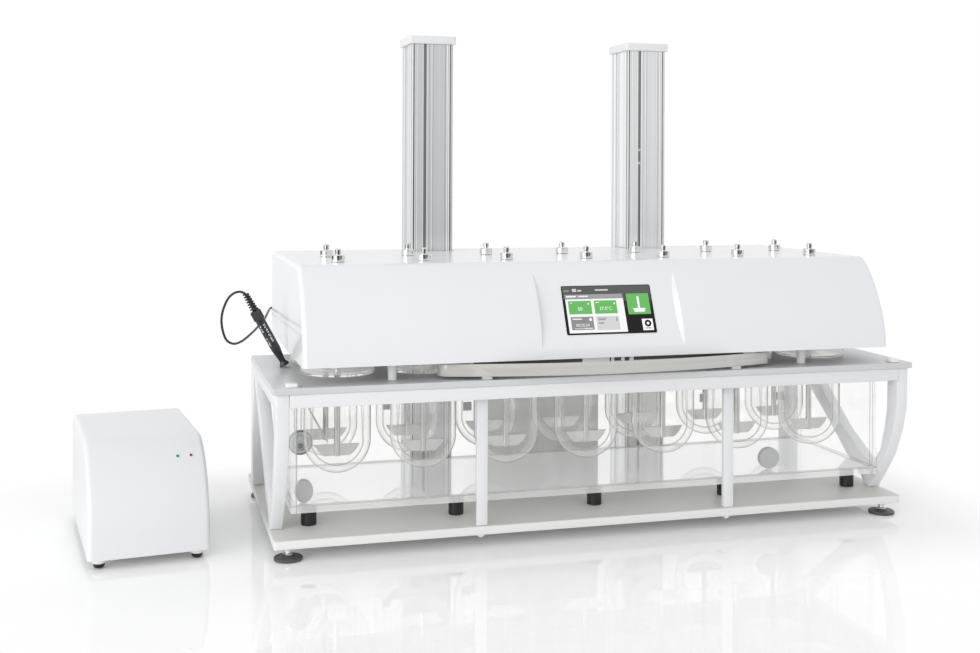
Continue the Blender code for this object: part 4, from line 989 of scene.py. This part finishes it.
def inwards(path, distance):
    # the path moved towards the hood's inside, its two ends kept level
    moved = []
    for i, point in enumerate(path):
        before, after = Vector(path[max(i - 1, 0)]), Vector(path[min(i + 1, len(path) - 1)])
        here = Vector(point)
        one = (here - before).normalized() if i else (after - here).normalized()
        two = (after - here).normalized() if i < len(path) - 1 else one
        along = (one + two).normalized()
        normal = Vector((-along.y, along.x))
        stretch = 1 / max(normal.dot(Vector((-one.y, one.x))), 0.5)
        shifted = here + normal * distance * stretch
        if i in (0, len(path) - 1):
            shifted.y = here.y
        moved.append((shifted.x, shifted.y))
    return moved


def makeShell(name, path, half, endRadius, wall, panel=None):
    # a grid over the outside: a fillet at each end, and the sunk panel between its two lips
    steps = 7
    across = []
    for i in range(steps + 1):
        turn = math.pi / 2 * i / steps
        across.append((-half + endRadius * (1 - math.cos(turn)), endRadius * (1 - math.sin(turn))))
    if panel:
        lip = panel["half"]
        across += [(-lip - 0.004, 0), (-lip, "lip"), (-lip, "foot"), (lip, "foot"), (lip, "lip"),
                   (lip + 0.004, 0)]
    across += [(-x, inset) for x, inset in reversed(across[:steps + 1])]
    shape = bmesh.new()
    rows = []
    for x, inset in across:
        if inset == "foot":
            points = []
            for k, point in enumerate(path):
                depth, flat = panel["rows"].get(k, (0, point))
                points.append((x - math.copysign(panel["draft"] * depth, x), *flat))
        else:
            points = [(x, y, z) for y, z in inwards(path, 0 if inset == "lip" else inset)]
        rows.append(ringOf(shape, points))
    for first, second in zip(rows, rows[1:]):
        for i in range(len(path) - 1):
            shape.faces.new((first[i], first[i + 1], second[i + 1], second[i]))
    shape.faces.new(rows[0])
    shape.faces.new(rows[-1])
    bmesh.ops.remove_doubles(shape, verts=shape.verts, dist=0.000002)
    bmesh.ops.dissolve_degenerate(shape, edges=shape.edges, dist=0.000002)
    bmesh.ops.recalc_face_normals(shape, faces=shape.faces)
    # an open shell has no inside to tell by, so look at a top face
    if max(shape.faces, key=lambda face: face.calc_center_median().z).normal.z < 0:
        bmesh.ops.reverse_faces(shape, faces=shape.faces)
    shell = tool(name, shape, False)
    thick = shell.modifiers.new("wall", "SOLIDIFY")
    thick.thickness, thick.offset, thick.use_even_offset = wall, -1, True
    return shell


def panelRows(path, curve, low, high):
    # for each row of the path between the two heights: how deep the flat lies, and where
    foot, crest = Vector(low), Vector(high)
    up = (crest - foot).normalized()
    rows = {}
    for k, point in enumerate(path):
        step = Vector(point) - foot
        along = step.dot(up)
        depth = step.y * up.x - step.x * up.y
        if point in curve and 0 < along < (crest - foot).length and depth > 0.00002:
            rows[k] = (depth, tuple(foot + up * along))
    return rows, up


def makeHead():
    h = head
    curve = frontCurve(h["shares"], h["front"], h["low"], h["rake"], h["height"], 4)
    curve, low = withHeight(curve, h["low"] + h["panelLow"])
    curve, high = withHeight(curve, h["low"] + h["panelHigh"])
    path = hoodProfile(curve, h["rear"], h["low"], h["low"] + h["height"], h["rearRadius"])
    rows, up = panelRows(path, curve, low, high)
    panel = {"half": h["panelHalf"], "draft": h["draft"], "rows": rows}
    openings = bmesh.new()
    radius, under, over = h["shaftHole"]
    for _, x, y in stations():
        turned([(radius, under), (radius, over)], 24, (x, y), shape=openings)
    half, front, rear, under, over = tower["opening"]
    for x in (-tower["x"], tower["x"]):
        prism(oblong(x - half, x + half, front, rear, 0.003), under, over, shape=openings)
    centre = Vector(low) + up * h["screenUp"]
    place = (Matrix.Translation((0, centre.x, centre.y))
             @ Matrix.Rotation(math.atan2(up.y, up.x), 4, "X"))
    window = tool("window", prism(oblong(*h["window"]), -0.02, 0.01))
    window.data.transform(place)
    shell = makeShell("hood", path, h["half"], h["endRadius"], h["wall"], panel)
    piece = addPiece("headHood", carved(shell, tool("openings", openings), window), "hoodWhite",
                     "drive_head", ("head_cover",), 24)
    piece.modifiers.new("normals", "WEIGHTED_NORMAL").keep_sharp = True
    # a fine seam across each end
    seams = bmesh.new()
    for side in (-1, 1):
        x = side * (h["half"] + 0.00012)
        loft(seams, [ringOf(seams, [(at, y, z) for y, z in h["seam"]])
                     for at in (x, x - side * 0.001)])
    addPiece("headSeams", seams, "seamGrey", "drive_head")
    # a dark strip under the front edge, a painted shade for the gap there, and small blocks, which hang
    # from the chassis
    shadeStrip, blocks = bmesh.new(), bmesh.new()
    for xLow, xHigh in h["shadeStrips"]:
        block((xLow, xHigh, -0.1280, -0.1240), 0.2580, 0.2656, 0.0006, 0.0003, shape=shadeStrip)
    for xLow, xHigh, low in h["blocks"]:
        block((xLow, xHigh, -0.1300, -0.1200), low, 0.2656, 0.0010, 0.0004, shape=blocks)
    addPiece("headSeal", shadeStrip, "sealBrown", "drive_head")
    addPiece("headBlocks", blocks, "capWhite", "drive_head")
    return place


tower = {"half": 0.0395, "front": 0.250, "depth": 0.086, "top": 0.8047, "x": 0.216,
         "opening": (0.0435, 0.246, 0.340, 0.250, 0.440),
         "cap": (0.0445, 0.245, 0.341, 0.8050, 0.8200), "screws": ((0.2019, 0.6103), (0.2019, 0.5847))}
screenPlace = makeHead()
print("head hood done")


# touch screen

# tiles in millimetres on the black glass, from its top left corner: (x0, x1, y0, y1, layer)
screen = {"width": 158.0, "height": 81.5, "size": (0.997, 1.033),
          "frame": (-0.0795, 0.0795, -0.0430, 0.0430), "tones": {
    "barGrey": (0.105, 0.105, 0.108), "stripGrey": (0.36, 0.36, 0.37), "paper": (0.93, 0.93, 0.93),
    "leafGreen": (0.145, 0.50, 0.125), "tileGrey": (0.27, 0.27, 0.28),
    "paleGrey": (0.66, 0.66, 0.66), "ink": (0.004, 0.004, 0.004), "duskGrey": (0.075, 0.075, 0.08),
    "nightGrey": (0.025, 0.025, 0.026)}, "tiles": {
    "barGrey": ((1.6, 156.4, 1.2, 14.8, 1), (1.6, 110.0, 14.8, 22.5, 1), (57.5, 70.0, 57.0, 58.2, 3)),
    "duskGrey": ((107.5, 156.4, 14.8, 27.0, 1),),
    "nightGrey": ((107.5, 156.4, 27.0, 40.0, 1),),
    "stripGrey": ((5.0, 106.0, 14.8, 21.2, 2),),
    "paper": ((5.0, 106.5, 21.2, 78.5, 1), (134.0, 153.0, 58.0, 77.0, 2), (7.0, 24.0, 16.8, 19.2, 3),
              (29.0, 45.0, 17.0, 19.0, 3), (12.5, 16.0, 28.2, 29.4, 3), (57.0, 63.0, 28.0, 29.4, 3),
              (13.0, 29.0, 54.6, 56.4, 3), (32.0, 46.0, 70.4, 71.6, 4), (130.7, 134.6, 20.0, 40.5, 3)),
    "leafGreen": ((9.0, 49.0, 25.5, 47.5, 2), (54.0, 93.5, 25.5, 47.5, 2),
                  (112.5, 152.5, 15.0, 50.0, 2)),
    "tileGrey": ((10.0, 49.0, 52.0, 73.5, 2), (4.0, 14.0, 7.0, 10.0, 2), (57.5, 73.0, 54.4, 55.6, 3),
                 (89.0, 91.0, 54.4, 60.0, 3), (138.5, 148.5, 72.6, 74.2, 3)),
    "paleGrey": ((54.0, 94.0, 52.0, 74.5, 2), (19.0, 26.0, 5.2, 10.2, 2), (28.0, 35.0, 7.2, 9.8, 2),
                 (59.0, 82.0, 6.6, 9.0, 2), (15.0, 46.0, 70.4, 71.6, 3)),
    "ink": ((57.5, 67.0, 62.4, 63.6, 3),)},
    "discs": (("ink", 144.0, 65.5, 5.8, 3), ("paper", 144.0, 65.5, 2.3, 4), ("paper", 44.0, 56.5, 2.6, 3),
              ("paper", 44.0, 30.6, 1.5, 3), ("paper", 89.5, 30.8, 1.5, 3)),
    "paddle": ((124.0, 46.2), (141.5, 46.2), (144.0, 39.8), (121.5, 39.8)),
    "figures": (("50", 0.0085, 28.5, 41.5), ("37.0°C", 0.0080, 73.5, 41.5),
                ("00:20:24", 0.0068, 29.5, 68.0))}


def onGlass(x, y):
    wide, tall = screen["size"]
    return (x - screen["width"] / 2) * (wide / 1000), (screen["height"] / 2 - y) * (tall / 1000)


def flat(shape, outline, level):
    # a thin plate with one face up, at a small height over the black glass
    prism([onGlass(x, y) for x, y in outline], 0.00062, 0.00064 + 0.00004 * level, shape=shape)


def lettering(words, size, x, y):
    # plain figures as outlines, made a mesh
    curve = bpy.data.curves.new("figures", "FONT")
    curve.body, curve.size, curve.align_x, curve.extrude = words, size, "CENTER", 0.00001
    made = placed("figures", curve)
    bpy.context.view_layer.update()
    mesh = baked(made)
    drop(made)
    mesh.transform(Matrix.Translation((*onGlass(x, y), 0.00082)))
    return mesh


def makeScreen():
    def part(name, shape, finish, slot="screen", nodes=()):
        addPiece(name, shape, finish, "drive_head", nodes, place=toFrame @ screenPlace)

    frameBox = block(screen["frame"], -0.0138, 0.0004, 0.004, 0.0004)
    part("screenFrame", frameBox, "padWhite", "powder", ("touch_screen",))
    half, tall = (screen[name] * share / 2000
                  for name, share in zip(("width", "height"), screen["size"]))
    part("screenGlass", block((-half, half, -tall, tall), 0.0002, 0.0006, 0.0030, 0.0002, 2),
         "screenGlass")
    for name, tiles in screen["tiles"].items():
        shape = bmesh.new()
        for x0, x1, y0, y1, layer in tiles:
            flat(shape, [(x0, y1), (x1, y1), (x1, y0), (x0, y0)], layer)
        if name == "paper":
            flat(shape, screen["paddle"], 3)
        for tone, x, y, radius, layer in screen["discs"]:
            if tone == name:
                flat(shape, [(x + radius * a, y + radius * b) for a, b in around(28)], layer)
        finishes[name] = glow(name, screen["tones"][name], 1.0, 0.18)
        part("screen_" + name, shape, name)
    for words, size, x, y in screen["figures"]:
        name = "screenFigures_" + "".join(letter for letter in words if letter.isdigit())
        part(name, lettering(words, size, x, y), "figureWhite")


makeScreen()
print("screen done")


# towers, caps, carriages

# grooves across one face, as (middle, half width, depth): fine lines, and a deep slot
grooves = ((0.0043, 0.0010, 0.0012), (0.0101, 0.0003, 0.0004), (0.0202, 0.0003, 0.0005),
           (0.0254, 0.0026, 0.0030), (0.0296, 0.0006, 0.0005), (0.0388, 0.0006, 0.0005),
           (0.0660, 0.0004, 0.0006), (0.0743, 0.0011, 0.0020))


def towerOutline(x):
    side = [(0.0, 0.0)]
    for middle, half, deep in grooves:
        side += [(middle - half, 0.0), (middle - half, deep), (middle + half, deep),
                 (middle + half, 0.0)]
    width = 2 * tower["half"]
    corners = oblong(x - width / 2, x + width / 2, tower["front"], tower["front"] + tower["depth"])
    outline = []
    for i, corner in enumerate(corners):
        start = Vector(corner)
        run = Vector(corners[(i + 1) % 4]) - start
        way = run.normalized()
        inward = Vector((-way.y, way.x))
        share = run.length / width
        outline += [tuple(start + way * at * share + inward * deep) for at, deep in side]
    return outline


def makeTowers():
    half, front, rear, low, high = tower["cap"]
    for name, x in (("left", -tower["x"]), ("right", tower["x"])):
        addPiece(name + "Tower", prism(towerOutline(x), 0.0003, tower["top"]), name + "Profile",
                 nodes=(name + "_tower",), angle=20)
        cap = block((x - half, x + half, front, rear), low, high, 0.004, 0.0016, 4)
        addPiece(name + "TowerCap", cap, "capWhite", nodes=(name + "_tower_cap",))
    # two small screws in the right tower's slot
    rings, cores = bmesh.new(), bmesh.new()
    for x, level in tower["screws"]:
        place = Matrix.Translation((x, tower["front"], level)) @ turning(90, "X")
        turned([(0.0024, -0.0030), (0.0024, -0.0004), (0.0020, 0)], 20, matrix=place, shape=rings)
        turned([(0.0010, -0.0002), (0.0010, 0.0001)], 12, matrix=place, shape=cores)
    addPiece("slotScrews", rings, "padWhite")
    addPiece("slotScrewHoles", cores, "blackRubber")


makeTowers()
refined("supply_housing", "supplyHousing", "housingGrey")
refined("front_shield", "frontShield", "shieldWhite", 0.0008)
print("towers, supply housing and shield done")


# temperature probe

probe = {"place": (-0.5101, 0.066), "lean": 28.5, "needle": 0.152, "flare": 0.0085,
         "body": 0.0079, "turns": 6.5, "spiral": (0.0056, 0.0040), "rise": (0.1062, 0.1365),
         "wire": 0.00145, "ribs": 28, "handle": (
             (0.0078, 0.0), (0.0085, 0.0008), (0.0085, 0.0022), (0.0080, 0.0032), (0.0058, 0.0058),
             (0.0050, 0.0080), (0.0051, 0.0110), (0.0060, 0.0190), (0.0072, 0.0270),
             (0.0078, 0.0310), (0.0079, 0.0360), (0.0079, 0.0855), (0.0074, 0.0862),
             (0.0074, 0.0868), (0.0084, 0.0874), (0.0086, 0.0885), (0.0086, 0.1030),
             (0.0082, 0.1046), (0.0052, 0.1050), (0.0034, 0.1062), (0.0027, 0.1288), (0, 0.1290)),
         "marks": (
             (-70, ((0.046, 0.050), (0.0515, 0.053), (0.055, 0.0585), (0.060, 0.0605),
                    (0.0625, 0.0655), (0.067, 0.0705), (0.073, 0.074), (0.0755, 0.079))),
             (-84, ((0.046, 0.0475), (0.049, 0.053), (0.0535, 0.0545), (0.057, 0.0605),
                    (0.0635, 0.0645), (0.0665, 0.0685), (0.072, 0.0745), (0.077, 0.079))),
             (-128, ((0.040, 0.0415), (0.043, 0.047), (0.049, 0.050), (0.0525, 0.055),
                     (0.066, 0.0700), (0.0712, 0.0722), (0.075, 0.0785))),
             (-142, ((0.042, 0.0455), (0.0475, 0.0485), (0.051, 0.054), (0.067, 0.0685),
                     (0.0705, 0.0740), (0.0765, 0.0775))))}


def makeProbe():
    lean = math.radians(probe["lean"])
    seat = onPlate + probe["flare"] * math.sin(lean)
    place = toFrame @ Matrix.Translation((*probe["place"], seat)) @ Matrix.Rotation(-lean, 4, "Y")

    def part(name, shape, finish, slot, nodes=(), angle=32):
        addPiece(name, shape, finish, "machine", nodes, angle, place)

    needle = turned([(0, -probe["needle"]), (0.0010, -probe["needle"] + 0.0004),
                     (0.0015, -probe["needle"] + 0.0014), (0.0015, 0.001)], 20)
    part("probeNeedle", needle, "shaftSteel", "steel")
    part("probeHandle", turned(probe["handle"], 36), "probePlastic", "plastic", ("temperature_probe",))
    grip = bmesh.new()
    for i in range(probe["ribs"]):
        turned([(0, 0.0884), (0.00055, 0.0886), (0.00055, 0.1026), (0, 0.1028)], 6,
               matrix=Matrix.Rotation(math.tau * i / probe["ribs"], 4, "Z")
               @ Matrix.Translation((0.0086, 0, 0)), shape=grip)
    part("probeGrip", grip, "gripGrey", "rubber")
    # the strain relief is a spiral round the first of the cable
    count = 150
    points = []
    for i in range(count + 1):
        share = i / count
        angle = math.tau * probe["turns"] * share
        reach, level = (low + (high - low) * share for low, high in (probe["spiral"], probe["rise"]))
        points.append(Vector((reach * math.cos(angle), reach * math.sin(angle), level)))
    part("probeSpiral", tube(points, probe["wire"], 8), "softRubber", "rubber", angle=50)
    # small printed lines along the handle, on the side towards the front
    lines = bmesh.new()
    half = 0.0006
    for turn, marks in probe["marks"]:
        face = turning(turn, "Z") @ Matrix.Translation((probe["body"] + 0.00002, 0, 0))
        for low, high in marks:
            corners = oblong(-half, half, low, high)
            loft(lines, [ringOf(lines, [face @ Vector((depth, *corner)) for corner in corners])
                         for depth in (-0.0002, 0.00008)])
    part("probeMarks", lines, "markGrey", "plastic")


makeProbe()
print("probe done")


# bath heater

heater = {"half": 0.091, "depth": 0.330, "height": 0.163, "rake": 0.092, "wall": 0.003,
          "rearRadius": 0.012, "endRadius": 0.008, "turn": 6.4, "corner": (-0.818, -0.082),
          "lift": 0.015, "footInset": 0.018,
          "lamps": (("green", "lampGreen", 0.0475, 0.1385), ("red", "lampRed", 0.0680, 0.1380)),
          "shares": ((0.0, 1.0), (0.15, 0.995), (0.3, 0.965), (0.45, 0.9), (0.6, 0.79),
                     (0.72, 0.655), (0.82, 0.5), (0.9, 0.33), (0.96, 0.15), (0.99, 0.02),
                     (1.0, -0.08))}


def makeHeater():
    h = heater
    turn = math.radians(h["turn"])
    x, y = h["corner"]
    stand = toFrame @ Matrix.Translation((
        x + h["half"] * math.cos(turn), y + h["half"] * math.sin(turn), floorLevel + h["lift"]))
    stand = stand @ Matrix.Rotation(turn, 4, "Z")
    curve = frontCurve(h["shares"], 0, 0, h["rake"], h["height"], 4)
    path = hoodProfile(curve, h["depth"], 0, h["height"], h["rearRadius"])
    shell = makeShell("heaterShell", path, h["half"], h["endRadius"], h["wall"])
    addPiece("heaterShell", carved(shell), "boxWhite", nodes=("heater_housing",), angle=24,
             place=stand)
    # light collars with black domed feet
    collars, domes = bmesh.new(), bmesh.new()
    inset = h["footInset"]
    for spot in oblong(inset - h["half"], h["half"] - inset, inset, h["depth"] - inset):
        turned([(0.0092, -0.0070), (0.0098, -0.0064), (0.0098, 0.0004)], 32, spot, shape=collars)
        turned([(0, -0.0149), (0.0040, -0.0148), (0.0068, -0.0134), (0.0084, -0.0110),
                (0.0088, -0.0072)], 32, spot, shape=domes)
    addPiece("heaterCollars", collars, "padWhite", place=stand)
    addPiece("heaterFeet", domes, "blackRubber", place=stand)
    # two small lamps in the front
    for name, finish, across, up in h["lamps"]:
        spot = min(range(len(curve)), key=lambda i: abs(curve[i][1] - up))
        slope = (Vector(curve[spot + 1]) - Vector(curve[spot - 1])).normalized()
        place = stand @ Matrix.Translation((across, *curve[spot]))
        place = place @ Matrix.Rotation(math.atan2(slope.y, slope.x), 4, "X")
        ring = turned([(0.0032, -0.004), (0.0032, 0.0003), (0.0028, 0.0007), (0.0024, 0.0004)], 28)
        addPiece("lampRing_" + name, ring, "capWhite", place=place)
        lamp = turned([(0.0024, 0.0002), (0.0023, 0.0010), (0.0016, 0.0016), (0, 0.0019)], 24)
        addPiece("lamp_" + name, lamp, finish, angle=60, place=place)


makeHeater()
dress(("left_lift_carriage", "right_lift_carriage"), "turnedSteel")
dress(("heater_base",), "housingGrey")
dress(("head_chassis",), "chassisAluminium")
dress(("drive_motor",), "probePlastic")
dress(("drive_belt",), "softRubber")
print("heater and inner solids done")


# floor, light and world

studio = {"floor": rgb(0.95, 0.95, 0.95), "lift": 0.08, "mirror": 0.17, "ambient": 0.81,
          "near": (0.70, 0.26), "shade": (0.0, 0.26), "fade": (0.10, 0.95),
          "sheet": (-7, 7, -6, 8), "horizon": (-0.045, -0.010), "lamps": (
              ("frontLeft", (-3.2, -2.6, 1.1), (-0.2, 0, 0.2), (2.4, 1.8), 44),
              ("left", (-5.5, -0.6, 1.5), (-0.5, 0.1, 0.2), (3.0, 2.4), 40)),
          # (turn, inner, outer, depth, foot) of each dark strip, in degrees and shares
          "flags": ((-92, 22, 28, 0.98, -0.10), (-45, 14, 20, 0.95, -0.10), (-97, 8, 13, 0.9, -2),
                    (36, 12, 18, 0.95, -2), (150, 20, 26, 0.95, -2), (99, 5, 11, 0.12, -2))}


@recipe
def floorWhite(board, where):
    # white round the part, and nothing further out, so that it ends nowhere
    x, y, z = board.parts(where)
    aside = (abs(x) - studio["near"][0]).atLeast(0.0)
    ahead = (abs(y) - studio["near"][1]).atLeast(0.0)
    away = (aside * aside + ahead * ahead) ** 0.5
    near, shaded = (board.spread(away, *studio[name], 1.0, 0.0, "SMOOTHSTEP")
                    for name in ("fade", "shade"))
    path = board.add("ShaderNodeLightPath", out="Is Camera Ray")
    matt = board.shader("BsdfDiffuse", Color=studio["floor"])
    shine = board.shader("BsdfGlossy", Color=rgb(1, 1, 1), Roughness=0.02)
    light = board.shader("Emission", Color=rgb(1, 1, 1), Strength=path * studio["lift"])
    plain = board.shader("Emission", Color=rgb(1, 1, 1),
                         Strength=path * (1 - studio["ambient"]) + studio["ambient"])
    gone = board.shader("BsdfTransparent", Color=rgb(1, 1, 1))
    matt = board.mix(shaded, plain, board.add("ShaderNodeAddShader", {}, {0: matt, 1: light}))
    return board.mix(near, gone, board.mix(studio["mirror"], matt, shine))


def makeFloor():
    mesh = asMesh("floor", prism(oblong(*studio["sheet"]), -0.02, 0))
    mesh.materials.append(floorWhite("floorWhite"))
    placed("floor", mesh)


def makeWorld():
    # a white tent, with dark strips that only metal and glass see
    world = bpy.data.worlds.new("studio")
    bpy.context.scene.world = world
    world.use_nodes = True
    world.node_tree.nodes.clear()
    board = Board(world.node_tree)
    camera, glossy, through = (
        board.add("ShaderNodeLightPath", out=name)
        for name in ("Is Camera Ray", "Is Glossy Ray", "Is Transmission Ray"))
    direct = (camera + glossy + through).maths("MINIMUM", 1.0)
    way = board.add("ShaderNodeTexCoord", out="Generated")
    level = board.add("ShaderNodeVectorMath", {"operation": "MULTIPLY"}, {0: way, 1: (1, 1, 0)})
    level = board.add("ShaderNodeVectorMath", {"operation": "NORMALIZE"}, {0: level})
    rise = board.parts(way)[2]
    low = board.spread(rise, *studio["horizon"], 1.0, 0.0)
    strength = direct * (1 - studio["ambient"]) + studio["ambient"]
    for turn, inner, outer, depth, foot in studio["flags"]:
        angle = math.radians(turn)
        towards = board.add("ShaderNodeVectorMath", {"operation": "DOT_PRODUCT"}, {
            0: level, 1: (math.cos(angle), math.sin(angle), 0)}, "Value")
        dark = board.spread(towards, math.cos(math.radians(outer)), math.cos(math.radians(inner)),
                            0.0, depth)
        strength = strength * (1 - glossy * low * dark * (rise > foot))
    sky = board.shader("Background", Color=rgb(1, 1, 1), Strength=strength)
    out = world.node_tree.nodes.new("ShaderNodeOutputWorld")
    world.node_tree.links.new(sky.socket, out.inputs["Surface"])


def makeLamp(name, place, aim, size, power):
    data = bpy.data.lights.new(name, "AREA")
    data.shape, data.size, data.size_y = "RECTANGLE", *size
    data.energy = power
    made = placed(name, data)
    made.location = zero + Vector(place)
    made.rotation_euler = (Vector(aim) - Vector(place)).to_track_quat("-Z", "Y").to_euler()
    made.visible_camera = False


makeFloor()
makeWorld()
for lamp in studio["lamps"]:
    makeLamp(*lamp)

sceneNow = bpy.context.scene
sceneNow.view_settings.view_transform = "Standard"
sceneNow.cycles.transparent_max_bounces = 48

print("pieces in place")
